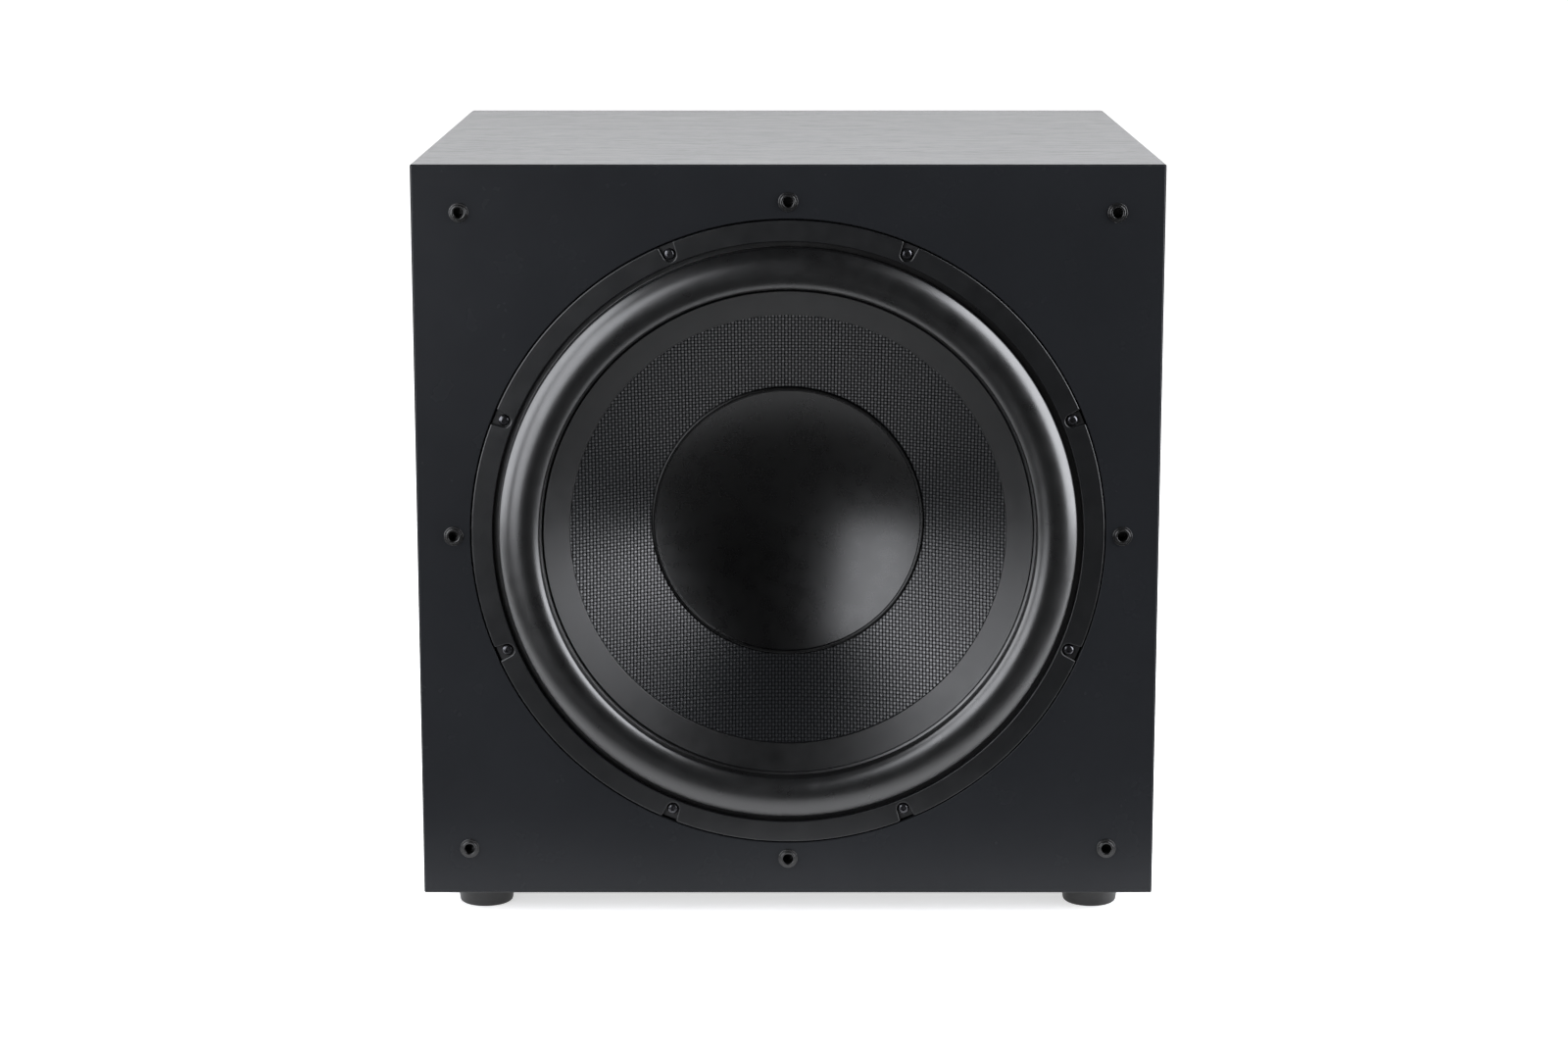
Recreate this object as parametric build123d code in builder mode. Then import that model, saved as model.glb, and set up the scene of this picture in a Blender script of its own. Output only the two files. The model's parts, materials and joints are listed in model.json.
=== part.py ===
"""Powered 15 inch subwoofer: a sealed cube cabinet, one long-throw driver and a rear plate amplifier.

Millimetres: +Z is up, the front faces -Y and +X is to the right seen from the front.
The origin is on the floor, under the centre of the whole object's bounding box.
A depth is measured inwards from the baffle's front face, along +Y.
"""

import math
import os

from build123d import *

os.makedirs("parts", exist_ok=True)

# ---------------------------------------------------------------- driving dimensions
cabinet_width = 455.0
cabinet_height = 455.0
cabinet_depth = 430.0
foot_height = 15.0
wrap_thickness = 0.4
panel_thickness = 18.0
baffle_thickness = 25.0

ring_radius = 194.0  # outside of the driver's trim ring: a 15 inch frame
ring_proud = 0.6
roll_crest_radius = 163.0  # the surround's roll: its crest
roll_proud = 8.4
roll_outer_curve = 19.4  # section radius from the crest out to the shoulder
roll_inner_curve = 14.0  # and from the crest in to the shoulder on the cone's side
cap_radius = 84.0
cap_depth = 48.0
cap_sag = 20.0
cone_slope = 0.626
coil_radius = 38.0

amp_width = 240.0
amp_height = 300.0
knob_length = 14.0

# ---------------------------------------------------------------- worked-out places
total_depth = roll_proud + cabinet_depth + knob_length
front_y = roll_proud - total_depth / 2
back_y = front_y + cabinet_depth
axis_height = foot_height + cabinet_height / 2
carcass_width = cabinet_width - 2 * wrap_thickness
carcass_height = cabinet_height - 2 * wrap_thickness
inner_width = carcass_width - 2 * panel_thickness
inner_height = carcass_height - 2 * panel_thickness

driver_centre = (0, front_y, axis_height)
driver_axis = Axis(driver_centre, (0, 1, 0))
# On the turning plane, x is a radius and y a depth.
turning_plane = Plane(origin=driver_centre, x_dir=(1, 0, 0), z_dir=(0, 0, 1))


def depth_plane(depth):
    """Plane across the cabinet at a depth; extruding from it goes towards the front."""
    return Plane(origin=(0, front_y + depth, axis_height), x_dir=(1, 0, 0), z_dir=(0, -1, 0))


def save(part, name):
    """Labels a finished piece and writes it under its node's name."""
    part.label = name
    export_step(part, f"parts/{name}.step")


def turned(outline):
    """A solid of revolution about the driver's axis, from (radius, depth) corners."""
    with BuildPart() as piece:
        with BuildSketch(turning_plane):
            with BuildLine():
                Polyline(*outline, close=True)
            make_face()
        revolve(axis=driver_axis)
    return piece.part


def tube_outline(inner, outer, near, far):
    """Corners of a plain ring's section between two radii and two depths."""
    return [(inner, near), (outer, near), (outer, far), (inner, far)]


# ================================================================ cabinet
# Four mitred boards folded round the box, a full-size baffle in front and a let-in back.
foot_x = cabinet_width / 2 - 36.0
foot_front_y = front_y + 35.5
foot_back_y = back_y - 35.5
foot_places = {
    "foot_front_left": (-foot_x, foot_front_y),
    "foot_front_right": (foot_x, foot_front_y),
    "foot_rear_left": (-foot_x, foot_back_y),
    "foot_rear_right": (foot_x, foot_back_y),
}
foot_screw_radius = 2.4
foot_screw_grip = 15.0

half_w, half_h = carcass_width / 2, carcass_height / 2
in_w, in_h = inner_width / 2, inner_height / 2
board_sections = {
    "top_panel": [(-half_w, half_h), (half_w, half_h), (in_w, in_h), (-in_w, in_h)],
    "bottom_panel": [(-half_w, -half_h), (-in_w, -in_h), (in_w, -in_h), (half_w, -half_h)],
    "left_panel": [(-half_w, -half_h), (-half_w, half_h), (-in_w, in_h), (-in_w, -in_h)],
    "right_panel": [(half_w, -half_h), (in_w, -in_h), (in_w, in_h), (half_w, half_h)],
}
for board_name, section in board_sections.items():
    with BuildPart() as board:
        with BuildSketch(depth_plane(cabinet_depth)):
            with BuildLine():
                Polyline(*section, close=True)
            make_face()
        extrude(amount=cabinet_depth - baffle_thickness)
        if board_name == "bottom_panel":
            with BuildSketch(Plane.XY.offset(foot_height)):
                with Locations(*foot_places.values()):
                    Circle(foot_screw_radius)
            extrude(amount=foot_screw_grip, mode=Mode.SUBTRACT)
    save(board.part, board_name)

# The vinyl is one sheet folded round the box and the baffle's edges.
baffle_edge = 0.8
with BuildPart() as vinyl_wrap:
    with BuildSketch(depth_plane(cabinet_depth)):
        RectangleRounded(cabinet_width, cabinet_height, 0.8)
        Rectangle(carcass_width, carcass_height, mode=Mode.SUBTRACT)
    extrude(amount=cabinet_depth - baffle_edge)
    with BuildSketch(Plane.XY.offset(foot_height - wrap_thickness)):
        with Locations(*foot_places.values()):
            Circle(foot_screw_radius)
    extrude(amount=3 * wrap_thickness, mode=Mode.SUBTRACT)
save(vinyl_wrap.part, "vinyl_wrap")

# Baffle: rebate for the driver's flange, through hole, screw holes and grille socket holes.
rebate_radius = ring_radius + 0.8
rebate_depth = 10.0
cutout_radius = 180.0
screw_circle = 187.5
screw_count = 8
screw_start = 22.5
t_nut_barrel_radius = 2.8
socket_corner = 198.5
socket_middle = 205.0
socket_places = [(x, y) for x in (-socket_corner, socket_corner) for y in (-socket_corner, socket_corner)]
socket_places += [(0, socket_middle), (0, -socket_middle), (socket_middle, 0), (-socket_middle, 0)]
socket_body_radius = 4.5
socket_body_depth = 11.0

with BuildPart() as front_baffle:
    with BuildSketch(depth_plane(baffle_thickness)):
        Rectangle(carcass_width, carcass_height)
    extrude(amount=baffle_thickness)
    chamfer(front_baffle.faces().sort_by(Axis.Y)[0].edges(), baffle_edge)
    with BuildSketch(depth_plane(rebate_depth)):
        Circle(rebate_radius)
    extrude(amount=rebate_depth, mode=Mode.SUBTRACT)
    with BuildSketch(depth_plane(baffle_thickness)):
        Circle(cutout_radius)
        with PolarLocations(screw_circle, screw_count, screw_start):
            Circle(t_nut_barrel_radius)
    extrude(amount=baffle_thickness, mode=Mode.SUBTRACT)
    with BuildSketch(depth_plane(socket_body_depth)):
        with Locations(*socket_places):
            Circle(socket_body_radius)
    extrude(amount=socket_body_depth, mode=Mode.SUBTRACT)
save(front_baffle.part, "front_baffle")

# Grille sockets: soft cups pressed into the baffle, with a flange, a raised lip and a blind hole.
socket_flange_radius = 6.0
socket_flange_height = 0.9
socket_lip_radius = 4.6
socket_lip_height = 1.7
socket_hole_radius = 3.2
socket_hole_depth = 9.0
with BuildPart() as grille_sockets:
    with BuildSketch(depth_plane(socket_body_depth)):
        with Locations(*socket_places):
            Circle(socket_body_radius)
    extrude(amount=socket_body_depth)
    with BuildSketch(depth_plane(0)):
        with Locations(*socket_places):
            Circle(socket_flange_radius)
    extrude(amount=socket_flange_height)
    with BuildSketch(depth_plane(-socket_flange_height)):
        with Locations(*socket_places):
            Circle(socket_lip_radius)
    extrude(amount=socket_lip_height - socket_flange_height)
    chamfer(grille_sockets.edges().filter_by(GeomType.CIRCLE).group_by(Axis.Y)[0], 0.3)
    with BuildSketch(depth_plane(socket_hole_depth)):
        with Locations(*socket_places):
            Circle(socket_hole_radius)
    extrude(amount=socket_hole_depth + socket_lip_height, mode=Mode.SUBTRACT)
save(grille_sockets.part, "grille_sockets")

# Brace: a board with four windows across the middle of the box, behind the magnet.
brace_depth = 235.0
brace_bar = 34.0
brace_rim = 24.0
brace_window_w = (inner_width - 2 * brace_rim - brace_bar) / 2
brace_window_h = (inner_height - 2 * brace_rim - brace_bar) / 2
with BuildPart() as window_brace:
    with BuildSketch(depth_plane(brace_depth + panel_thickness)):
        Rectangle(inner_width, inner_height)
        with GridLocations(brace_window_w + brace_bar, brace_window_h + brace_bar, 2, 2):
            RectangleRounded(brace_window_w, brace_window_h, 22, mode=Mode.SUBTRACT)
    extrude(amount=panel_thickness)
save(window_brace.part, "window_brace")

# Damping: a felted polyester pad on each side wall, in front of the brace.
pad_thickness = 12.0
pad_length = 190.0
pad_height = 360.0
pad_start = 33.0
pad_x = in_w - pad_thickness / 2
pad_y = front_y + pad_start + pad_length / 2
with BuildPart() as damping_pads:
    with Locations((-pad_x, pad_y, axis_height), (pad_x, pad_y, axis_height)):
        Box(pad_thickness, pad_length, pad_height)
    fillet(damping_pads.edges().filter_by(Axis.X), 14)
save(damping_pads.part, "damping_pads")

# Feet: rubber bumpers under plastic washers, each held by a wood screw in a counterbore.
washer_thickness = 1.5
washer_radius = 17.2
foot_radius = 18.0
foot_base_radius = 16.6
foot_top = foot_height - washer_thickness
counterbore_radius = 8.0
counterbore_depth = 8.5
foot_bore_radius = 2.6
foot_screw_head_radius = 5.0
foot_screw_head_height = 3.0
foot_recess_length = 5.2
foot_recess_width = 1.1
foot_recess_depth = 1.8
for foot_name, (x, y) in foot_places.items():
    with BuildPart() as foot:
        with BuildSketch(Plane(origin=(x, y, 0), x_dir=(1, 0, 0), z_dir=(0, -1, 0))):
            with BuildLine():
                Polyline(
                    (counterbore_radius, 0),
                    (foot_base_radius, 0),
                    (foot_radius, foot_top - 1.0),
                    (foot_radius - 0.8, foot_top),
                    (foot_bore_radius, foot_top),
                    (foot_bore_radius, counterbore_depth),
                    (counterbore_radius, counterbore_depth),
                    close=True,
                )
            make_face()
        revolve(axis=Axis((x, y, 0), (0, 0, 1)))
        base_edges = foot.edges().filter_by(GeomType.CIRCLE).group_by(Axis.Z)[0]
        fillet(base_edges.sort_by(SortBy.RADIUS)[-1], 2.4)
    save(foot.part, foot_name)

with BuildPart() as foot_washers:
    with BuildSketch(Plane.XY.offset(foot_top)):
        with Locations(*foot_places.values()):
            Circle(washer_radius)
            Circle(foot_bore_radius, mode=Mode.SUBTRACT)
    extrude(amount=washer_thickness)
save(foot_washers.part, "foot_washers")

with BuildPart() as foot_screws:
    with BuildSketch(Plane.XY.offset(counterbore_depth)):
        with Locations(*foot_places.values()):
            Circle(foot_screw_head_radius)
    extrude(amount=-foot_screw_head_height)
    with BuildSketch(Plane.XY.offset(counterbore_depth)):
        with Locations(*foot_places.values()):
            Circle(foot_screw_radius)
    extrude(amount=foot_height - counterbore_depth + foot_screw_grip - 1)
    with BuildSketch(Plane.XY.offset(counterbore_depth - foot_screw_head_height)):
        with Locations(*foot_places.values()):
            Rectangle(foot_recess_length, foot_recess_width)
            Rectangle(foot_recess_width, foot_recess_length)
    extrude(amount=foot_recess_depth, mode=Mode.SUBTRACT)
save(foot_screws.part, "foot_screws")

# ================================================================ driver
# Cast basket: flange, short skirt, eight arms and the cup that carries the spider and the magnet.
flange_radius = 193.6
skirt_inner_radius = 172.5
skirt_end = 24.0
clearance_hole_radius = 2.2
flange_face = 3.0
flange_step = 6.0
flange_step_radius = 185.5
gasket_face = 8.5
spider_seat = 101.5
spider_seat_inner = 82.0
ledge_thickness = 4.5
cup_radius = 96.0
cup_inner_radius = 89.0
cup_hole_radius = 50.0
cup_floor = 126.0
magnet_top = 132.0
arm_count = 8
arm_width = 15.0
flange_section = [
    (skirt_inner_radius, flange_step + 1.5),
    (skirt_inner_radius + 1.5, flange_step),
    (flange_step_radius, flange_step),
    (flange_step_radius, flange_face),
    (flange_radius, flange_face),
    (flange_radius, gasket_face),
    (cutout_radius - 1.4, gasket_face),
    (cutout_radius - 2.2, skirt_end),
    (skirt_inner_radius, skirt_end),
]
cup_section = [
    (spider_seat_inner, spider_seat),
    (cup_radius - 2, spider_seat),
    (cup_radius, spider_seat + 2),
    (cup_radius, magnet_top),
    (cup_hole_radius, magnet_top),
    (cup_hole_radius, cup_floor),
    (cup_inner_radius, cup_floor),
    (cup_inner_radius, spider_seat + ledge_thickness),
    (spider_seat_inner, spider_seat + ledge_thickness),
]
arm_section = [(173.5, 15.0), (177.0, 15.0), (177.0, 31.0), (94.0, 127.0), (94.0, 108.0), (173.5, 22.0)]
with BuildPart() as basket_frame:
    with BuildSketch(turning_plane):
        with BuildLine():
            Polyline(*flange_section, close=True)
        make_face()
        with BuildLine():
            Polyline(*cup_section, close=True)
        make_face()
    revolve(axis=driver_axis)
    for index in range(arm_count):
        angle = math.radians(screw_start + index * 360 / arm_count)
        outward = (math.cos(angle), 0, math.sin(angle))
        across = (-math.sin(angle), 0, math.cos(angle))
        with BuildSketch(Plane(origin=driver_centre, x_dir=outward, z_dir=across)):
            with BuildLine():
                Polyline(*arm_section, close=True)
            make_face()
        extrude(amount=arm_width / 2, both=True)
    with BuildSketch(depth_plane(gasket_face + 1)):
        with PolarLocations(screw_circle, screw_count, screw_start):
            Circle(clearance_hole_radius)
    extrude(amount=gasket_face, mode=Mode.SUBTRACT)
save(basket_frame.part, "basket_frame")

gasket_outer_radius = 193.0
gasket_inner_radius = 181.0
with BuildPart() as driver_gasket:
    with BuildSketch(depth_plane(rebate_depth)):
        Circle(gasket_outer_radius)
        Circle(gasket_inner_radius, mode=Mode.SUBTRACT)
        with PolarLocations(screw_circle, screw_count, screw_start):
            Circle(clearance_hole_radius, mode=Mode.SUBTRACT)
    extrude(amount=rebate_depth - gasket_face)
save(driver_gasket.part, "driver_gasket")

# Trim ring: covers the surround's edge; eight slots open outwards clear the screw heads.
ring_inner_radius = 181.0
ring_rim_radius = 185.3
lip_face = 4.8
ring_bevel = 0.7
slot_half_width = 4.0
slot_mouth_half_width = 4.8
ring_section = [
    (ring_inner_radius, ring_bevel - ring_proud),
    (ring_inner_radius + ring_bevel, -ring_proud),
    (ring_radius - ring_bevel, -ring_proud),
    (ring_radius, ring_bevel - ring_proud),
    (ring_radius, flange_face),
    (ring_rim_radius, flange_face),
    (ring_rim_radius, lip_face),
    (ring_inner_radius, lip_face),
]
with BuildPart() as trim_ring:
    with BuildSketch(turning_plane):
        with BuildLine():
            Polyline(*ring_section, close=True)
        make_face()
    revolve(axis=driver_axis)
    with BuildSketch(depth_plane(flange_face)):
        with PolarLocations(screw_circle - 0.4, screw_count, screw_start):
            Circle(slot_half_width)
            Polygon(
                (0, -slot_half_width),
                (9, -slot_mouth_half_width),
                (9, slot_mouth_half_width),
                (0, slot_half_width),
                align=None,
            )
    extrude(amount=flange_face + 2 * ring_proud, mode=Mode.SUBTRACT)
save(trim_ring.part, "trim_ring")

# Machine screws with domed hex-socket heads, and the T-nuts behind the baffle that take them.
head_radius = 3.5
head_height = 2.9
driver_screw_radius = 2.0
driver_screw_end = 29.0
head_dome = 1.7
hex_flat_radius = 1.25
hex_depth = 1.2
t_nut_length = 12.0
t_nut_flange_radius = 7.0
t_nut_flange = 1.2
with BuildPart() as driver_screws:
    with BuildSketch(depth_plane(flange_face)):
        with PolarLocations(screw_circle, screw_count, screw_start):
            Circle(head_radius)
    extrude(amount=head_height)
    fillet(driver_screws.edges().filter_by(GeomType.CIRCLE).group_by(Axis.Y)[0], head_dome)
    with BuildSketch(depth_plane(driver_screw_end)):
        with PolarLocations(screw_circle, screw_count, screw_start):
            Circle(driver_screw_radius)
    extrude(amount=driver_screw_end - flange_face)
    with BuildSketch(depth_plane(flange_face - head_height + hex_depth)):
        with PolarLocations(screw_circle, screw_count, screw_start):
            RegularPolygon(hex_flat_radius, 6, major_radius=False)
    extrude(amount=head_height, mode=Mode.SUBTRACT)
save(driver_screws.part, "driver_screws")

with BuildPart() as t_nuts:
    with BuildSketch(depth_plane(baffle_thickness)):
        with PolarLocations(screw_circle, screw_count, screw_start):
            Circle(t_nut_barrel_radius)
    extrude(amount=t_nut_length)
    with BuildSketch(depth_plane(baffle_thickness + t_nut_flange)):
        with PolarLocations(screw_circle, screw_count, screw_start):
            Circle(t_nut_flange_radius)
    extrude(amount=t_nut_flange)
    with BuildSketch(depth_plane(baffle_thickness + t_nut_flange)):
        with PolarLocations(screw_circle, screw_count, screw_start):
            Circle(driver_screw_radius)
    extrude(amount=t_nut_length + 2 * t_nut_flange, mode=Mode.SUBTRACT)
save(t_nuts.part, "t_nuts")


def cone_face(radius):
    """Depth of the cone's front face at a radius."""
    return cap_depth + (cap_radius - radius) * cone_slope


# Cone: a straight-sided shell with a glued collar on the voice coil's former.
cone_rim_radius = 150.2
cone_thickness = 1.3
former_outer = coil_radius + 0.5
collar_near = 73.5
collar_far = 81.0
cone_section = [
    (former_outer, collar_near),
    (former_outer + 1.1, collar_near),
    (former_outer + 3.0, cone_face(former_outer + 3.0)),
    (cone_rim_radius, cone_face(cone_rim_radius)),
    (cone_rim_radius, cone_face(cone_rim_radius) + cone_thickness),
    (former_outer + 4.0, cone_face(former_outer + 4.0) + cone_thickness),
    (former_outer + 1.7, collar_far),
    (former_outer, collar_far),
]
save(turned(cone_section), "cone")

# Surround: a roll with a flat outer lip under the trim ring and an inner lip on the cone.
roll_wall = 1.4
lip_wall = 1.2
lip_far = lip_face + lip_wall
inner_lip_radius = 144.0
inner_lip_wall = 0.8
inner_wall_foot = 5.4
shoulder_slope = math.radians(44)
shoulder_round = 3.0
outward, inward = 1, -1


def roll_side(way, curve, inset):
    """Crest, shoulder and wall top of one side of the roll, at a distance inside its outer face."""
    centre_radius = roll_crest_radius + way * (curve - shoulder_round) * math.sin(shoulder_slope)
    centre_depth = curve - roll_proud - (curve - shoulder_round) * math.cos(shoulder_slope)
    left = shoulder_round - inset
    shoulder_radius = centre_radius + way * left * math.sin(shoulder_slope)
    shoulder = (shoulder_radius, centre_depth - left * math.cos(shoulder_slope))
    return (roll_crest_radius, inset - roll_proud), shoulder, (centre_radius + way * left, centre_depth)


def draw_roll_side(way, crest, shoulder, wall_top):
    """Draws one side of the roll: a long arc to the shoulder, then a tight one to the wall."""
    TangentArc(crest, shoulder, tangent=(way, 0))
    TangentArc(shoulder, wall_top, tangent=(way * math.cos(shoulder_slope), math.sin(shoulder_slope)))


outer_face = roll_side(outward, roll_outer_curve, 0)
outer_under = roll_side(outward, roll_outer_curve, roll_wall)
inner_face = roll_side(inward, roll_inner_curve, 0)
inner_under = roll_side(inward, roll_inner_curve, roll_wall)
roll_outer_radius = outer_face[-1][0]
roll_inner_radius = inner_face[-1][0]
with BuildPart() as surround:
    with BuildSketch(turning_plane):
        with BuildLine():
            draw_roll_side(outward, *outer_face)
            Polyline(
                outer_face[-1],
                (roll_outer_radius, lip_face),
                (ring_rim_radius - 0.1, lip_face),
                (ring_rim_radius - 0.1, lip_far),
                (roll_outer_radius - roll_wall, lip_far),
                outer_under[-1],
            )
            draw_roll_side(outward, *outer_under)
            draw_roll_side(inward, *inner_under)
            Polyline(
                inner_under[-1],
                (roll_inner_radius + roll_wall, inner_wall_foot),
                (cone_rim_radius, cone_face(cone_rim_radius)),
                (inner_lip_radius, cone_face(inner_lip_radius)),
                (inner_lip_radius, cone_face(inner_lip_radius) - inner_lip_wall),
                (roll_inner_radius, lip_face),
                inner_face[-1],
            )
            draw_roll_side(inward, *inner_face)
        make_face()
    revolve(axis=driver_axis)
save(surround.part, "surround")

# Edge ring: a smooth moulded band bonded over the inner lip and the outer part of the cone.
band_inner_radius = 134.5
band_rise = 1.9


def lip_front(radius):
    """Depth of the front of the surround's inner lip at a radius."""
    start = cone_face(inner_lip_radius) - inner_lip_wall
    share = (radius - inner_lip_radius) / (roll_inner_radius - inner_lip_radius)
    return start + share * (lip_face - start)


band_section = [
    (band_inner_radius, cone_face(band_inner_radius)),
    (band_inner_radius + 0.5, cone_face(band_inner_radius + 0.5) - band_rise + 0.6),
    (band_inner_radius + 1.5, cone_face(band_inner_radius + 1.5) - band_rise),
    (cone_rim_radius - 0.5, cone_face(cone_rim_radius - 0.5) - band_rise),
    (cone_rim_radius, cone_face(cone_rim_radius) - band_rise + 0.4),
    (cone_rim_radius, lip_front(cone_rim_radius)),
    (inner_lip_radius, lip_front(inner_lip_radius)),
    (inner_lip_radius, cone_face(inner_lip_radius)),
]
save(turned(band_section), "cone_edge_ring")

# Dust cap: an inverted dome with a small bead round its rim.
cap_wall = 1.1
dish_radius = cap_radius - 1.4
dish_rim = cone_face(dish_radius) - 1.1
dish_sphere = (dish_radius**2 + cap_sag**2) / (2 * cap_sag)


def dish_face(radius):
    """Depth of the dish's front face at a radius: a sphere centred on the axis, in front of it."""
    return dish_rim + cap_sag - dish_sphere + math.sqrt(dish_sphere**2 - radius**2)


dish_back_radius = dish_radius - 0.2
with BuildPart() as dust_cap:
    with BuildSketch(turning_plane):
        with BuildLine():
            ThreePointArc(
                (0, dish_face(0)),
                (dish_radius / 2, dish_face(dish_radius / 2)),
                (dish_radius, dish_rim),
            )
            Polyline(
                (dish_radius, dish_rim),
                (cap_radius - 0.9, dish_rim - 1.2),
                (cap_radius + 0.4, dish_rim - 1.5),
                (cap_radius + 1.4, cone_face(cap_radius + 1.4)),
                (dish_back_radius, dish_face(dish_back_radius) + cap_wall),
            )
            ThreePointArc(
                (dish_back_radius, dish_face(dish_back_radius) + cap_wall),
                (dish_radius / 2, dish_face(dish_radius / 2) + cap_wall),
                (0, dish_face(0) + cap_wall),
            )
            Line((0, dish_face(0) + cap_wall), (0, dish_face(0)))
        make_face()
    revolve(axis=driver_axis)
save(dust_cap.part, "dust_cap")

# Voice coil on its former, centred on the top plate.
top_plate_thickness = 12.0
winding_height = 30.0
winding_radius = former_outer + 1.6
gap_centre = magnet_top + top_plate_thickness / 2
former_start = collar_near - 3.5
former_end = gap_centre + winding_height / 2 + 2
save(turned(tube_outline(coil_radius, former_outer, former_start, former_end)), "coil_former")
winding_near = gap_centre - winding_height / 2
winding_far = gap_centre + winding_height / 2
save(turned(tube_outline(former_outer, winding_radius, winding_near, winding_far)), "voice_coil")

# Spider: a flat cloth disc pressed into rings of corrugations.
spider_wall = 0.7
wave_start = 43.0
wave_half = 4.0
wave_count = 9
wave_height = 1.9
spider_rim_radius = 90.0
spider_face = spider_seat - spider_wall
wave_end = wave_start + wave_count * wave_half
with BuildPart() as spider:
    with BuildSketch(turning_plane):
        with BuildLine():
            for face in (spider_face, spider_face + spider_wall):
                for index in range(wave_count):
                    near = wave_start + index * wave_half
                    peak = face - wave_height * (-1) ** index
                    ThreePointArc((near, face), (near + wave_half / 2, peak), (near + wave_half, face))
            Polyline(
                (wave_end, spider_face),
                (spider_rim_radius, spider_face),
                (spider_rim_radius, spider_face + spider_wall),
                (wave_end, spider_face + spider_wall),
            )
            Polyline(
                (wave_start, spider_face),
                (former_outer + 1.2, spider_face),
                (former_outer + 0.8, spider_face - 1.6),
                (former_outer, spider_face - 1.6),
                (former_outer, spider_face + spider_wall + 1.2),
                (former_outer + 0.8, spider_face + spider_wall + 1.2),
                (former_outer + 1.2, spider_face + spider_wall),
                (wave_start, spider_face + spider_wall),
            )
        make_face()
    revolve(axis=driver_axis)
save(spider.part, "spider")

# Magnet: top plate, two ferrite rings, and a yoke with a vented pole.
magnet_thickness = 23.0
magnet_radius = 95.0
magnet_hole_radius = 48.0
plate_radius = 84.0
vent_radius = 13.0
magnet_base = magnet_top + top_plate_thickness
yoke_top = magnet_base + 2 * magnet_thickness
yoke_bottom = yoke_top + 12.0
pole_radius = coil_radius - 0.6
pole_top = magnet_top - 4.0
with BuildPart() as top_plate:
    with BuildSketch(depth_plane(magnet_base)):
        Circle(plate_radius)
        Circle(winding_radius + 0.9, mode=Mode.SUBTRACT)
    extrude(amount=top_plate_thickness)
    chamfer(top_plate.edges().filter_by(GeomType.CIRCLE).sort_by(SortBy.RADIUS)[-2:], 1.5)
save(top_plate.part, "top_plate")

with BuildPart() as magnet_rings:
    for magnet_far in (magnet_base + magnet_thickness, magnet_base + 2 * magnet_thickness):
        with BuildSketch(depth_plane(magnet_far - 0.1)):
            Circle(magnet_radius)
            Circle(magnet_hole_radius, mode=Mode.SUBTRACT)
        extrude(amount=magnet_thickness - 0.1)
    chamfer(magnet_rings.edges().filter_by(GeomType.CIRCLE).sort_by(SortBy.RADIUS)[-4:], 1.2)
save(magnet_rings.part, "magnet_rings")

yoke_section = [
    (vent_radius, pole_top + 1.5),
    (vent_radius + 1.5, pole_top),
    (pole_radius - 1.0, pole_top),
    (pole_radius, pole_top + 1.0),
    (pole_radius, yoke_top - 6.0),
    (pole_radius + 5.0, yoke_top - 0.1),
    (plate_radius - 2.0, yoke_top - 0.1),
    (plate_radius, yoke_top + 2.0),
    (plate_radius, yoke_bottom - 5.0),
    (plate_radius - 8.0, yoke_bottom),
    (vent_radius + 7.0, yoke_bottom),
    (vent_radius, yoke_bottom - 8.0),
]
save(turned(yoke_section), "yoke")

# Terminals on the basket's cup, and the braided leads from them to the voice coil.
terminal_angle = math.radians(-45)
lead_spacing = 14.0
outward = (math.cos(terminal_angle), 0, math.sin(terminal_angle))
sideways = (-math.sin(terminal_angle), 0, math.cos(terminal_angle))
block_near = 96.0
block_far = 122.0
block_middle = (block_near + block_far) / 2
block_radius = 98.5
tag_width = 6.3
tag_thickness = 0.8
tag_length = 9.0


def by_terminals(radius, depth, side):
    """World point at a radius and depth on the terminals' line, shifted sideways."""
    return (
        radius * outward[0] + side * sideways[0],
        front_y + depth,
        axis_height + radius * outward[2] + side * sideways[2],
    )


block_plane = Plane(origin=by_terminals(cup_radius, block_middle, 0), x_dir=sideways, z_dir=outward)
with BuildPart() as driver_terminals:
    with BuildSketch(block_plane):
        Rectangle(28.0, block_far - block_near)
    extrude(amount=2 * (block_radius - cup_radius))
    tag_origin = by_terminals(2 * block_radius - cup_radius, block_middle + 5, 0)
    with BuildSketch(Plane(origin=tag_origin, x_dir=sideways, z_dir=outward)):
        with Locations((-lead_spacing / 2, 0), (lead_spacing / 2, 0)):
            Rectangle(tag_width, tag_thickness)
    extrude(amount=tag_length)
save(driver_terminals.part, "driver_terminals")

tinsel_radius = 0.9
with BuildPart() as tinsel_leads:
    for side in (-lead_spacing / 2, lead_spacing / 2):
        with BuildLine() as lead_path:
            FilletPolyline(
                by_terminals(block_radius, block_near, side),
                by_terminals(block_radius, block_near - 9.0, side),
                by_terminals(78.0, 82.0, side),
                by_terminals(58.0, 87.0, side),
                by_terminals(coil_radius + 0.6, 87.0, side),
                radius=(5.0, 12.0, 14.0),
            )
        with BuildSketch(Plane(origin=lead_path.line @ 0, z_dir=lead_path.line % 0)):
            Circle(tinsel_radius)
        sweep()
save(tinsel_leads.part, "tinsel_leads")

# ================================================================ rear panel and plate amplifier
amp_up = -30.0
amp_thickness = 3.0
amp_gasket_thickness = 1.5
amp_corner = 6.0
amp_border = 14.0
amp_screw_radius = 2.0
amp_screw_x = amp_width / 2 - 7.0
amp_screw_y = amp_height / 2 - 7.0
amp_screw_places = [(x, y) for x in (-amp_screw_x, amp_screw_x) for y in (-amp_screw_y, 0, amp_screw_y)]
amp_screw_places += [(x, y) for x in (-40, 40) for y in (-amp_screw_y, amp_screw_y)]


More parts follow.
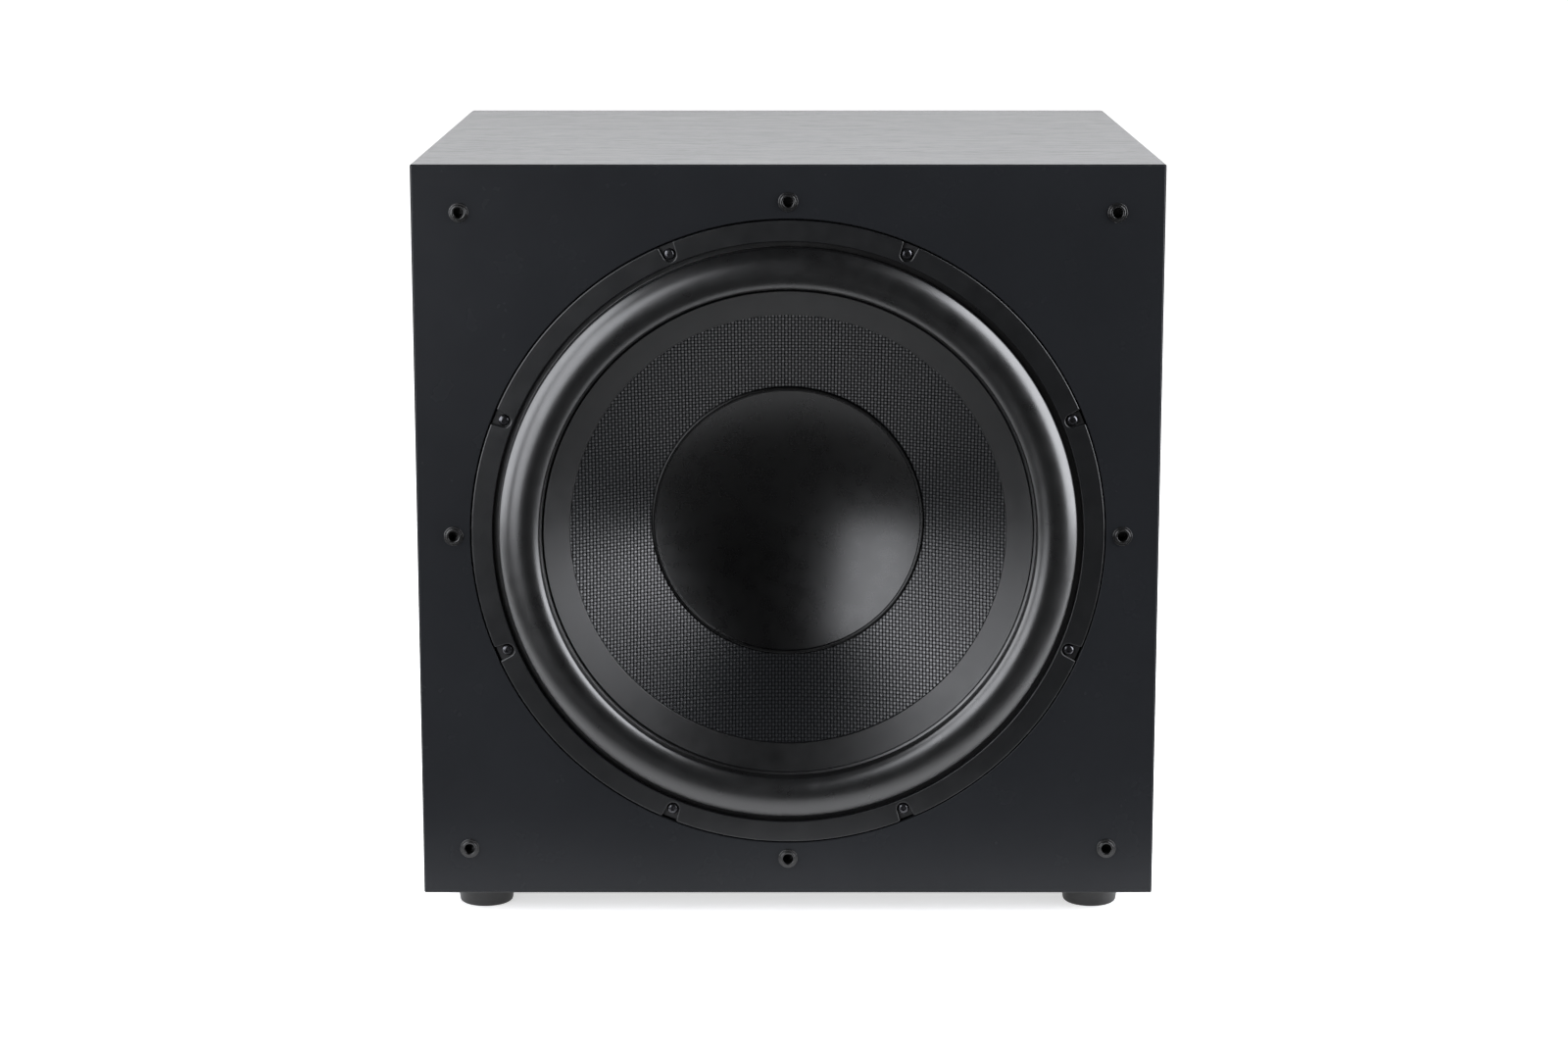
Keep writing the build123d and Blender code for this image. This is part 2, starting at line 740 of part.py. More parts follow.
def amp_plane(outwards=0.0, across=0.0, up=0.0):
    """Plane over the amplifier seen from behind: x to the viewer's right, extruding goes out of the back."""
    origin = (-across, back_y + outwards, axis_height + amp_up + up)
    return Plane(origin=origin, x_dir=(-1, 0, 0), z_dir=(0, 1, 0))


# Back board: let in flush, with a rebated window for the amplifier's plate.
with BuildPart() as back_panel:
    with BuildSketch(amp_plane(0, 0, -amp_up)):
        Rectangle(inner_width, inner_height)
    extrude(amount=-panel_thickness)
    with BuildSketch(amp_plane()):
        RectangleRounded(amp_width + 1.0, amp_height + 1.0, amp_corner)
    extrude(amount=-amp_thickness - amp_gasket_thickness, mode=Mode.SUBTRACT)
    with BuildSketch(amp_plane()):
        Rectangle(amp_width - 2 * amp_border, amp_height - 2 * amp_border)
        with Locations(*amp_screw_places):
            Circle(amp_screw_radius)
    extrude(amount=-panel_thickness, mode=Mode.SUBTRACT)
save(back_panel.part, "back_panel")

# Places of the controls and sockets, seen from behind, from the middle of the plate.
level_place = (-66, 104)
crossover_place = (-8, 104)
mode_place = (44, 104)
phase_place = (84, 104)
jack_places = [(-86, 50), (-62, 50), (-22, 50), (2, 50)]
trigger_place = (44, 50)
lens_place = (84, 50)
rocker_place = (-34, -104)
inlet_place = (46, -104)
bushing_radius = 4.5
jack_neck_radius = 5.4
inlet_body_w = 28.0
inlet_body_h = 36.0
rocker_body_w = 13.0
rocker_body_h = 19.0
lever_slot_w = 10.6
lever_slot_h = 4.6
trigger_radius = 3.0
lens_radius = 1.5

with BuildPart() as amp_plate:
    with BuildSketch(amp_plane()):
        RectangleRounded(amp_width, amp_height, amp_corner)
        with Locations(*amp_screw_places):
            Circle(amp_screw_radius + 0.2, mode=Mode.SUBTRACT)
        with Locations(level_place, crossover_place):
            Circle(bushing_radius + 0.1, mode=Mode.SUBTRACT)
        with Locations(mode_place, phase_place):
            Rectangle(lever_slot_w, lever_slot_h, mode=Mode.SUBTRACT)
        with Locations(*jack_places):
            Circle(jack_neck_radius + 0.1, mode=Mode.SUBTRACT)
        with Locations(trigger_place):
            Circle(trigger_radius + 0.1, mode=Mode.SUBTRACT)
        with Locations(lens_place):
            Circle(lens_radius + 0.1, mode=Mode.SUBTRACT)
        with Locations(inlet_place):
            Rectangle(inlet_body_w + 0.4, inlet_body_h + 0.4, mode=Mode.SUBTRACT)
        with Locations(rocker_place):
            Rectangle(rocker_body_w + 0.2, rocker_body_h + 0.2, mode=Mode.SUBTRACT)
    extrude(amount=-amp_thickness)
    chamfer(amp_plate.faces().sort_by(Axis.Y)[-1].outer_wire().edges(), 0.5)
save(amp_plate.part, "amp_plate")

with BuildPart() as amp_gasket:
    with BuildSketch(amp_plane(-amp_thickness)):
        RectangleRounded(amp_width - 1, amp_height - 1, amp_corner)
        Rectangle(amp_width - 2 * amp_border, amp_height - 2 * amp_border, mode=Mode.SUBTRACT)
        with Locations(*amp_screw_places):
            Circle(amp_screw_radius, mode=Mode.SUBTRACT)
    extrude(amount=-amp_gasket_thickness)
save(amp_gasket.part, "amp_gasket")

amp_head_radius = 3.8
amp_head_height = 2.3
amp_recess_length = 4.0
amp_recess_width = 0.9
amp_recess_depth = 1.4
amp_screw_length = 17.0
with BuildPart() as amp_screws:
    with BuildSketch(amp_plane()):
        with Locations(*amp_screw_places):
            Circle(amp_head_radius)
    extrude(amount=amp_head_height)
    fillet(amp_screws.edges().filter_by(GeomType.CIRCLE).group_by(Axis.Y)[-1], 1.2)
    with BuildSketch(amp_plane()):
        with Locations(*amp_screw_places):
            Circle(amp_screw_radius)
    extrude(amount=-amp_screw_length)
    with BuildSketch(amp_plane(amp_head_height)):
        with Locations(*amp_screw_places):
            Rectangle(amp_recess_length, amp_recess_width)
            Rectangle(amp_recess_width, amp_recess_length)
    extrude(amount=-amp_recess_depth, mode=Mode.SUBTRACT)
save(amp_screws.part, "amp_screws")

# Mains inlet: an earthed three-pin well over a fuse drawer.
flange_proud = 2.5
well_up = 7.5
well_w = 24.6
well_h = 16.6
well_depth = 16.0
drawer_up = -10.5
drawer_w = 22.4
drawer_h = 9.4
inlet_corner = 5.5
inlet_body_depth = 22.0
pin_w = 2.0
pin_h = 4.0
pin_places = [(-7, well_up - 2), (0, well_up + 2), (7, well_up - 2)]
inlet_x, inlet_y = inlet_place
with BuildPart() as mains_inlet:
    with BuildSketch(amp_plane(0, inlet_x, inlet_y)):
        RectangleRounded(34.0, 42.0, 3.0)
    extrude(amount=flange_proud)
    chamfer(mains_inlet.faces().sort_by(Axis.Y)[-1].edges(), 0.6)
    with BuildSketch(amp_plane(0, inlet_x, inlet_y)):
        Rectangle(inlet_body_w, inlet_body_h)
    extrude(amount=-inlet_body_depth)
    with BuildSketch(amp_plane(flange_proud, inlet_x, inlet_y + well_up)):
        Polygon(
            (-well_w / 2, -well_h / 2),
            (well_w / 2, -well_h / 2),
            (well_w / 2, well_h / 2 - inlet_corner),
            (well_w / 2 - inlet_corner, well_h / 2),
            (inlet_corner - well_w / 2, well_h / 2),
            (-well_w / 2, well_h / 2 - inlet_corner),
            align=None,
        )
    extrude(amount=-well_depth, mode=Mode.SUBTRACT)
    with BuildSketch(amp_plane(flange_proud, inlet_x, inlet_y + drawer_up)):
        Rectangle(drawer_w, drawer_h)
    extrude(amount=-well_depth, mode=Mode.SUBTRACT)
    with BuildSketch(amp_plane(flange_proud, inlet_x, inlet_y)):
        with Locations(*pin_places):
            Rectangle(pin_w, pin_h)
    extrude(amount=-flange_proud - inlet_body_depth, mode=Mode.SUBTRACT)
save(mains_inlet.part, "mains_inlet")

pin_recess = 6.0
pin_length = 25.0
with BuildPart() as inlet_pins:
    with BuildSketch(amp_plane(flange_proud - pin_recess, inlet_x, inlet_y)):
        with Locations(*pin_places):
            Rectangle(pin_w, pin_h)
    extrude(amount=-pin_length)
    chamfer(inlet_pins.faces().group_by(Axis.Y)[-1].edges(), 0.5)
save(inlet_pins.part, "inlet_pins")

with BuildPart() as fuse_drawer:
    with BuildSketch(amp_plane(flange_proud + 0.4, inlet_x, inlet_y + drawer_up)):
        Rectangle(drawer_w - 0.6, drawer_h - 0.6)
    extrude(amount=-well_depth)
    with BuildSketch(amp_plane(flange_proud + 0.4, inlet_x, inlet_y + drawer_up + drawer_h / 2)):
        Rectangle(8.0, 4.0)
    extrude(amount=-1.6, mode=Mode.SUBTRACT)
save(fuse_drawer.part, "fuse_drawer")

# Power rocker: the rocker's ends are round about its pivot, so it clears its frame over the whole throw.
rocker_x, rocker_y = rocker_place
rocker_throw = 9.0
rocker_reach = 8.5
rocker_gap = 0.35
rocker_width = 11.0
rocker_body_depth = 20.0
bezel_proud = 1.8
with BuildPart() as rocker_frame:
    with BuildSketch(amp_plane(0, rocker_x, rocker_y)):
        RectangleRounded(rocker_body_w + 4, rocker_body_h + 4, 1.5)
    extrude(amount=bezel_proud)
    chamfer(rocker_frame.faces().sort_by(Axis.Y)[-1].edges(), 0.6)
    with BuildSketch(amp_plane(0, rocker_x, rocker_y)):
        Rectangle(rocker_body_w, rocker_body_h)
    extrude(amount=-rocker_body_depth)
    with BuildSketch(amp_plane(bezel_proud, rocker_x, rocker_y)):
        Rectangle(rocker_width + 2 * rocker_gap, 2 * (rocker_reach + rocker_gap))
    extrude(amount=-12.0, mode=Mode.SUBTRACT)
    with BuildSketch(amp_plane(-rocker_body_depth, rocker_x, rocker_y)):
        with Locations((0, -6), (0, 6)):
            Rectangle(tag_width, tag_thickness)
    extrude(amount=-tag_length + 1)
save(rocker_frame.part, "rocker_frame")

tilt = math.radians(rocker_throw)
rocker_pivot = (-rocker_x, back_y, axis_height + amp_up + rocker_y)
rocker_plane = Plane(origin=rocker_pivot, x_dir=(0, math.cos(tilt), math.sin(tilt)), z_dir=(1, 0, 0))
with BuildPart() as power_rocker:
    with BuildSketch(rocker_plane):
        Circle(rocker_reach)
        Polygon((-5, -10), (3.8, -10), (2.2, 0), (3.8, 10), (-5, 10), align=None, mode=Mode.INTERSECT)
    extrude(amount=rocker_width / 2, both=True)
save(power_rocker.part, "power_rocker")

# Level and crossover controls: bushed potentiometers, D shafts and fluted knobs.
shaft_radius = 3.0
shaft_inner_end = -10.5
shaft_outer_end = 12.0
knob_base = 0.8
knob_radius = 11.0
knob_recess = 5.8
knob_recess_radius = 8.3
knob_flutes = 20
pot_size = 17.0
nut_flat_radius = 6.4
nut_height = 2.2
bushing_length = 5.0
part_depth = 9.0  # behind the plate, the same for pots, switches and sockets
with BuildPart() as pot_bodies:
    with BuildSketch(amp_plane(-amp_thickness)):
        with Locations(level_place, crossover_place):
            RectangleRounded(pot_size, pot_size, 1.5)
    extrude(amount=-part_depth)
    with BuildSketch(amp_plane(-amp_thickness)):
        with Locations(level_place, crossover_place):
            Circle(bushing_radius)
    extrude(amount=amp_thickness + bushing_length)
    with BuildSketch(amp_plane()):
        with Locations(level_place, crossover_place):
            RegularPolygon(nut_flat_radius, 6, major_radius=False)
    extrude(amount=nut_height)
    with BuildSketch(amp_plane(bushing_length)):
        with Locations(level_place, crossover_place):
            Circle(shaft_radius + 0.05)
    extrude(amount=-16.0, mode=Mode.SUBTRACT)
save(pot_bodies.part, "pot_bodies")

for control, (x, y) in (("level", level_place), ("crossover", crossover_place)):
    with BuildPart() as shaft:
        with BuildSketch(amp_plane(shaft_inner_end, x, y)):
            Circle(shaft_radius)
        extrude(amount=shaft_outer_end - shaft_inner_end)
        with BuildSketch(amp_plane(knob_recess + 0.5, x, y)):
            with Locations((0, shaft_radius)):
                Rectangle(2 * shaft_radius, 2.4)
        extrude(amount=shaft_outer_end, mode=Mode.SUBTRACT)
    save(shaft.part, f"{control}_shaft")
    with BuildPart() as knob:
        with BuildSketch(amp_plane(knob_base, x, y)):
            Circle(knob_radius)
            with PolarLocations(knob_radius + 0.5, knob_flutes, 9):
                Circle(1.1, mode=Mode.SUBTRACT)
        extrude(amount=knob_length - knob_base, taper=2)
        chamfer(knob.faces().sort_by(Axis.Y)[-1].outer_wire().edges(), 0.5)
        with BuildSketch(amp_plane(knob_base, x, y)):
            Circle(knob_recess_radius)
        extrude(amount=knob_recess - knob_base, mode=Mode.SUBTRACT)
        with BuildSketch(amp_plane(knob_recess, x, y)):
            Circle(shaft_radius)
        extrude(amount=shaft_outer_end - knob_recess, mode=Mode.SUBTRACT)
        with BuildSketch(amp_plane(knob_length, x, y)):
            with Locations((0, 6.5)):
                Rectangle(1.2, 6.0)
        extrude(amount=-0.6, mode=Mode.SUBTRACT)
    save(knob.part, f"{control}_knob")

# Mode and phase slide switches: each lever rests at the left end of its slot.
lever_travel = 6.0
lever_shoe_face = -6.0
lever_proud = 3.4
stem_width = 3.6
with BuildPart() as switch_bodies:
    with BuildSketch(amp_plane(-amp_thickness)):
        with Locations(mode_place, phase_place):
            Rectangle(22.0, 10.0)
    extrude(amount=-part_depth)
    with BuildSketch(amp_plane(-amp_thickness)):
        with Locations(mode_place, phase_place):
            Rectangle(15.2, 5.4)
    extrude(amount=-6.4, mode=Mode.SUBTRACT)
save(switch_bodies.part, "switch_bodies")

for control, (x, y) in (("mode", mode_place), ("phase", phase_place)):
    with BuildPart() as lever:
        with BuildSketch(amp_plane(lever_shoe_face, x - lever_travel / 2, y)):
            Rectangle(8.4, lever_slot_h)
        extrude(amount=-3.0)
        with BuildSketch(amp_plane(lever_shoe_face, x - lever_travel / 2, y)):
            Rectangle(stem_width, stem_width)
        extrude(amount=lever_proud - lever_shoe_face)
        chamfer(lever.faces().sort_by(Axis.Y)[-1].edges(), 0.5)
    save(lever.part, f"{control}_lever")

# Line sockets: a moulded block whose core stands inside a plated barrel.
barrel_radius = 4.15
barrel_root_radius = 3.75
barrel_bore = 3.45
barrel_proud = 10.0
barrel_root = -8.0
collar_radius = 6.8
collar_height = 1.6
core_hole_radius = 1.65
with BuildPart() as jack_insulators:
    with BuildSketch(amp_plane(-amp_thickness)):
        with Locations(*jack_places):
            Rectangle(12.0, 12.0)
    extrude(amount=-part_depth)
    with BuildSketch(amp_plane(-amp_thickness)):
        with Locations(*jack_places):
            Circle(jack_neck_radius)
    extrude(amount=amp_thickness)
    with BuildSketch(amp_plane()):
        with Locations(*jack_places):
            Circle(collar_radius)
    extrude(amount=collar_height)
    with BuildSketch(amp_plane(barrel_root)):
        with Locations(*jack_places):
            Circle(barrel_root_radius)
    extrude(amount=barrel_proud, mode=Mode.SUBTRACT)
    with BuildSketch(amp_plane(barrel_root)):
        with Locations(*jack_places):
            Circle(barrel_bore)
    extrude(amount=barrel_proud - 0.8 - barrel_root)
    with BuildSketch(amp_plane(-6.0)):
        with Locations(*jack_places):
            Circle(core_hole_radius)
    extrude(amount=barrel_proud + 6.0, mode=Mode.SUBTRACT)
save(jack_insulators.part, "jack_insulators")

with BuildPart() as jack_barrels:
    with BuildSketch(amp_plane(barrel_root)):
        with Locations(*jack_places):
            Circle(barrel_root_radius)
    extrude(amount=collar_height - barrel_root)
    with BuildSketch(amp_plane(collar_height)):
        with Locations(*jack_places):
            Circle(barrel_radius)
    extrude(amount=barrel_proud - collar_height)
    with BuildSketch(amp_plane(barrel_root)):
        with Locations(*jack_places):
            Circle(barrel_bore)
    extrude(amount=barrel_proud - barrel_root, mode=Mode.SUBTRACT)
save(jack_barrels.part, "jack_barrels")

trigger_x, trigger_y = trigger_place
with BuildPart() as trigger_jack:
    with BuildSketch(amp_plane(-amp_thickness, trigger_x, trigger_y)):
        Rectangle(9.0, 9.0)
    extrude(amount=-part_depth)
    with BuildSketch(amp_plane(-amp_thickness, trigger_x, trigger_y)):
        Circle(trigger_radius)
    extrude(amount=amp_thickness + 3.4)
    with BuildSketch(amp_plane(0, trigger_x, trigger_y)):
        RegularPolygon(4.2, 6, major_radius=False)
    extrude(amount=1.6)
    with BuildSketch(amp_plane(3.4, trigger_x, trigger_y)):
        Circle(1.8)
    extrude(amount=-13.0, mode=Mode.SUBTRACT)
save(trigger_jack.part, "trigger_jack")

lens_x, lens_y = lens_place
lens_proud = 0.9
control_board_face = -12.0
with BuildPart() as status_lens:
    with BuildSketch(amp_plane(control_board_face, lens_x, lens_y)):
        Circle(lens_radius)
    extrude(amount=lens_proud - control_board_face)
    fillet(status_lens.edges().filter_by(GeomType.CIRCLE).sort_by(Axis.Y)[-1], 0.8)
save(status_lens.part, "status_lens")

# Boards: one behind the controls, one on pillars behind the mains parts, over a finned heat sink.
board_thickness = 1.6
power_board_face = -33.0
power_board_up = -75.0
pillar_places = [(x, y) for x in (-92, 92) for y in (-123, -27)]
with BuildPart() as control_board:
    with BuildSketch(amp_plane(control_board_face, 0, 77)):
        Rectangle(198.0, 94.0)
    extrude(amount=-board_thickness)
    with BuildSketch(amp_plane(control_board_face - board_thickness, 0, 77)):
        with Locations((-60, 5), (-10, 8), (40, 2), (75, -20)):
            Rectangle(12.0, 8.0)
    extrude(amount=-2.2)
save(control_board.part, "control_board")

with BuildPart() as power_board:
    with BuildSketch(amp_plane(power_board_face, 0, power_board_up)):
        Rectangle(198.0, 108.0)
    extrude(amount=-board_thickness)
    with BuildSketch(amp_plane(power_board_face - board_thickness, 0, power_board_up)):
        with Locations((30, 8), (60, 8), (80, 30)):
            Rectangle(20.0, 14.0)
    extrude(amount=-12.0)
save(power_board.part, "power_board")

with BuildPart() as board_pillars:
    with BuildSketch(amp_plane(-amp_thickness)):
        with Locations(*pillar_places):
            RegularPolygon(3.0, 6, major_radius=False)
    extrude(amount=power_board_face + amp_thickness)
save(board_pillars.part, "board_pillars")

sink_up = -42.0
with BuildPart() as heat_sink:
    with BuildSketch(amp_plane(-amp_thickness, 0, sink_up)):
        Rectangle(168.0, 44.0)
    extrude(amount=-5.0)
    with BuildSketch(amp_plane(-amp_thickness, 0, sink_up)):
        with GridLocations(12.0, 0, 14, 1):
            Rectangle(2.4, 44.0)
    extrude(amount=-25.0)
save(heat_sink.part, "heat_sink")

toroid_place = (-52, -88)
toroid_height = 32.0
with BuildPart() as transformer:
    with BuildSketch(amp_plane(power_board_face - board_thickness, *toroid_place)):
        Circle(34.0)
        Circle(10.0, mode=Mode.SUBTRACT)
    extrude(amount=-toroid_height)
    fillet(transformer.edges().filter_by(GeomType.CIRCLE).sort_by(SortBy.RADIUS)[-2:], 9.0)
save(transformer.part, "transformer")

with BuildPart() as capacitors:
    with BuildSketch(amp_plane(power_board_face - board_thickness)):
        with Locations((8, -108), (37, -108), (66, -108)):
            Circle(12.5)
    extrude(amount=-42.0)
    fillet(capacitors.edges().filter_by(GeomType.CIRCLE), 1.5)
save(capacitors.part, "capacitors")

# Speaker leads: from the power board, through a brace window, to the driver's terminals.
lead_radius = 1.4
with BuildPart() as speaker_leads:
    for side in (-lead_spacing / 2, lead_spacing / 2):
        start = amp_plane(power_board_face - board_thickness, -86, -44 + side).origin
        with BuildLine() as lead_path:
            FilletPolyline(
                start,
                start + (0, -55, 0),
                by_terminals(96.0, 290.0, side),
                by_terminals(112.0, 200.0, side),
                by_terminals(120.0, block_middle + 5, side),
                by_terminals(110.0, block_middle + 5, side),
                radius=(60.0, 80.0, 90.0, 4.0),
            )
        with BuildSketch(Plane(origin=lead_path.line @ 0, z_dir=lead_path.line % 0)):
            Circle(lead_radius)
        sweep()
save(speaker_leads.part, "speaker_leads")
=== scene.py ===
"""The looks of a powered 15 inch subwoofer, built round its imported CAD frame.

Blender's lengths are metres. Profiles and outlines are in millimetres: a depth goes into the face that a
piece sits in, and "out" goes out of it.
"""

import json
import math

import bmesh
import bpy
from mathutils import Matrix, Vector
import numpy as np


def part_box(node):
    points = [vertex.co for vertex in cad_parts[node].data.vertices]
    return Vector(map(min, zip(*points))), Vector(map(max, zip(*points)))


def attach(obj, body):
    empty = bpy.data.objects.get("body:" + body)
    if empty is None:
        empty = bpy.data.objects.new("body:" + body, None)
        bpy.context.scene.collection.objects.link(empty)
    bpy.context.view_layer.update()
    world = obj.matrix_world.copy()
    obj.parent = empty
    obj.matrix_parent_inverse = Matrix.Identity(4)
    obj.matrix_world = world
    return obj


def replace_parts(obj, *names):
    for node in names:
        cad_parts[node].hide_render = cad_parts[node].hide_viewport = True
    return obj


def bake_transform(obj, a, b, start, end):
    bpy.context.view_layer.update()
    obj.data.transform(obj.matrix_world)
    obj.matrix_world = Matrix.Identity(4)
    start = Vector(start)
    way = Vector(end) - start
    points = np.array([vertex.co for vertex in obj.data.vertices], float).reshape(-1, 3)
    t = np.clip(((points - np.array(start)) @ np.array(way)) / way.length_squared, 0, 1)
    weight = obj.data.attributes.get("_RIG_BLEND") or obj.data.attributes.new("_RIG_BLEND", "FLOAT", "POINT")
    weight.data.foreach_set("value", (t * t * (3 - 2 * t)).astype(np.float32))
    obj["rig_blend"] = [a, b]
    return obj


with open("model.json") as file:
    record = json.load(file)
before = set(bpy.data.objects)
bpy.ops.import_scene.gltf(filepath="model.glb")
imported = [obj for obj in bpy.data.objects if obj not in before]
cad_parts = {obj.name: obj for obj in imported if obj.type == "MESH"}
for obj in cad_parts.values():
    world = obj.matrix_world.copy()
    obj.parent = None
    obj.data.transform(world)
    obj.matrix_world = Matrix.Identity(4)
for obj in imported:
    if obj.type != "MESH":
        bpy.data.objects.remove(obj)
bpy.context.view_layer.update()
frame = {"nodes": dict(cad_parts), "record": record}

scene = bpy.context.scene
MM = 0.001
SHARP_ANGLE = 35  # degrees that an edge turns before its shading is kept sharp
WELD = 1e-7  # metres between points that are one point
ON_AXIS = 1e-6  # mm from an axis that count as on it
NEARLY_FOLDED, NEARLY_STRAIGHT = math.radians(2), math.radians(178)

# ---------------------------------------------------------------- places, from the frame
baffle_low, baffle_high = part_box("front_baffle")
skin_low, skin_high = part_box("vinyl_wrap")
ring_low, ring_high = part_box("trim_ring")
plate_low, plate_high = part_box("amp_plate")
front_y, back_y = baffle_low.y, skin_high.y
axis_z = (baffle_low.z + baffle_high.z) / 2
plate_z = (plate_low.z + plate_high.z) / 2
cabinet_width = (skin_high.x - skin_low.x) / MM
cabinet_height = (skin_high.z - skin_low.z) / MM
cabinet_depth = (back_y - front_y) / MM
carcass_width = (baffle_high.x - baffle_low.x) / MM
ring_radius = (ring_high.x - ring_low.x) / MM / 2
driver_centre = Vector((0, front_y, axis_z))

# Frames that sketches are drawn in: the columns are across, up, and the way that extrusion goes.
FACING_FRONT = Matrix(((1, 0, 0, 0), (0, 0, -1, front_y), (0, 1, 0, axis_z), (0, 0, 0, 1)))
FACING_BACK = Matrix(((-1, 0, 0, 0), (0, 0, 1, back_y), (0, 1, 0, plate_z), (0, 0, 0, 1)))
FACING_DOWN = Matrix(((1, 0, 0, 0), (0, -1, 0, 0), (0, 0, -1, 0), (0, 0, 0, 1)))
FLAT = Matrix.Identity(4)


def placed(base, x=0.0, y=0.0, out=0.0):
    """A sketch frame moved by millimetres across, up and out of its face."""
    return base @ Matrix.Translation((x * MM, y * MM, out * MM))


# ---------------------------------------------------------------- mesh tools
def new_piece(name, data):
    """Puts a mesh or curve in the scene as a piece."""
    piece = bpy.data.objects.new(name, data)
    scene.collection.objects.link(piece)
    return piece


def smooth(mesh, angle=SHARP_ANGLE):
    """Smooth shading that keeps edges sharper than the angle, in degrees."""
    mesh.shade_smooth()
    mesh.set_sharp_from_angle(angle=math.radians(angle))
    return mesh


def closed(mesh, angle=SHARP_ANGLE):
    """A closed mesh with its points welded, its faces turned outwards and smooth shading."""
    work = bmesh.new()
    work.from_mesh(mesh)
    bmesh.ops.remove_doubles(work, verts=work.verts, dist=WELD)
    bmesh.ops.recalc_face_normals(work, faces=work.faces)
    work.to_mesh(mesh)
    work.free()
    return smooth(mesh, angle)


def final_mesh(name, piece):
    """The mesh that a piece comes to with its modifiers or bevel; the piece is used up."""
    depsgraph = bpy.context.evaluated_depsgraph_get()
    mesh = bpy.data.meshes.new_from_object(piece.evaluated_get(depsgraph))
    mesh.name = name
    bpy.data.objects.remove(piece)
    return mesh


def soften(corners, radius=0.3, steps=4):
    """A closed outline with its corners rounded; a corner may give its own radius as a third value."""
    outline = []
    count = len(corners)
    for index, corner in enumerate(corners):
        point = Vector(corner[:2])
        own = corner[2] if len(corner) > 2 else radius
        before = Vector(corners[index - 1][:2]) - point
        after = Vector(corners[(index + 1) % count][:2]) - point
        opening = before.angle(after, math.pi)
        if own <= 0 or opening > NEARLY_STRAIGHT or opening < NEARLY_FOLDED:
            outline.append(tuple(point))
            continue
        reach = min(own / math.tan(opening / 2), 0.49 * before.length, 0.49 * after.length)
        start = point + before.normalized() * reach
        end = point + after.normalized() * reach
        for step in range(steps + 1):
            share = step / steps
            bend = start.lerp(point, share).lerp(point.lerp(end, share), share)
            outline.append(tuple(bend))
    return outline


def arc(centre_x, centre_y, radius, start, end, steps):
    """Points on an arc, angles in degrees."""
    angles = [math.radians(start + (end - start) * step / steps) for step in range(steps + 1)]
    return [(centre_x + radius * math.cos(a), centre_y + radius * math.sin(a)) for a in angles]


def circle(radius, x=0.0, y=0.0, steps=64):
    """A closed round outline."""
    return arc(x, y, radius, 0, 360, steps)[:-1]


def polygon(sides, flat_radius):
    """A regular polygon from the distance of its flats."""
    return circle(flat_radius / math.cos(math.pi / sides), steps=sides)


def rectangle(width, height, x=0.0, y=0.0, radius=0.0):
    """A closed rectangular outline with rounded corners."""
    signs = ((-1, -1), (1, -1), (1, 1), (-1, 1))
    corners = [(x + i * width / 2, y + j * height / 2) for i, j in signs]
    return soften(corners, radius, 6) if radius else corners


def turned_mesh(name, profile, place, steps, angle):
    """A closed solid of revolution: the profile is (radius, out) round the sketch frame's third axis."""
    mesh = bpy.data.meshes.new(name)
    vertices, rings = [], []
    for radius, out in profile:
        if radius < ON_AXIS:
            rings.append([len(vertices)] * steps)
            vertices.append(place @ Vector((0, 0, out * MM)))
            continue
        rings.append(list(range(len(vertices), len(vertices) + steps)))
        for step in range(steps):
            turn = 2 * math.pi * step / steps
            spot = Vector((radius * MM * math.cos(turn), radius * MM * math.sin(turn), out * MM))
            vertices.append(place @ spot)
    faces = []
    for index, ring in enumerate(rings):
        other = rings[(index + 1) % len(rings)]
        for step in range(steps):
            following = (step + 1) % steps
            corners = [ring[step], ring[following], other[following], other[step]]
            kept = [c for i, c in enumerate(corners) if c != corners[i - 1]]
            if len(set(kept)) > 2:
                faces.append(kept)
    mesh.from_pydata(vertices, [], faces)
    return closed(mesh, angle)


def loft_mesh(name, layers, place):
    """A closed solid through outlines of equal counts: each layer is (outline, out)."""
    mesh = bpy.data.meshes.new(name)
    count = len(layers[0][0])
    vertices = [place @ Vector((x * MM, y * MM, out * MM)) for outline, out in layers for x, y in outline]
    faces = [list(range(count)), list(range(len(vertices) - count, len(vertices)))]
    for base in range(0, len(vertices) - count, count):
        for step in range(count):
            after = (step + 1) % count
            faces.append([base + step, base + after, base + count + after, base + count + step])
    mesh.from_pydata(vertices, [], faces)
    return closed(mesh)


def plate_mesh(name, outlines, place, near, far, edge=0.3, edge_steps=2):
    """A flat plate from its outer outline and holes, between two heights, with every edge rounded."""
    curve = bpy.data.curves.new(name, "CURVE")
    curve.dimensions = "2D"
    curve.fill_mode = "BOTH"
    for index, outline in enumerate(outlines):
        area = sum(a[0] * b[1] - b[0] * a[1] for a, b in zip(outline, outline[1:] + outline[:1]))
        clockwise, is_hole = area < 0, index > 0
        if clockwise != is_hole:
            outline = outline[::-1]
        spline = curve.splines.new("POLY")
        spline.points.add(len(outline) - 1)
        for point, (x, y) in zip(spline.points, outline):
            point.co = (x * MM, y * MM, 0, 1)
        spline.use_cyclic_u = True
    curve.bevel_depth = edge * MM
    curve.offset = -edge * MM
    curve.bevel_resolution = edge_steps
    curve.extrude = (abs(far - near) / 2 - edge) * MM
    mesh = final_mesh(name, new_piece(name + "_outline", curve))
    bpy.data.curves.remove(curve)
    mesh.transform(placed(place, out=(near + far) / 2))
    return closed(mesh)


def plates(place, *rows):
    """Flat plates in one sketch frame: each row is (name, outlines, near, far, edge, edge_steps)."""
    return [plate_mesh(name, outlines, place, *sizes) for name, outlines, *sizes in rows]


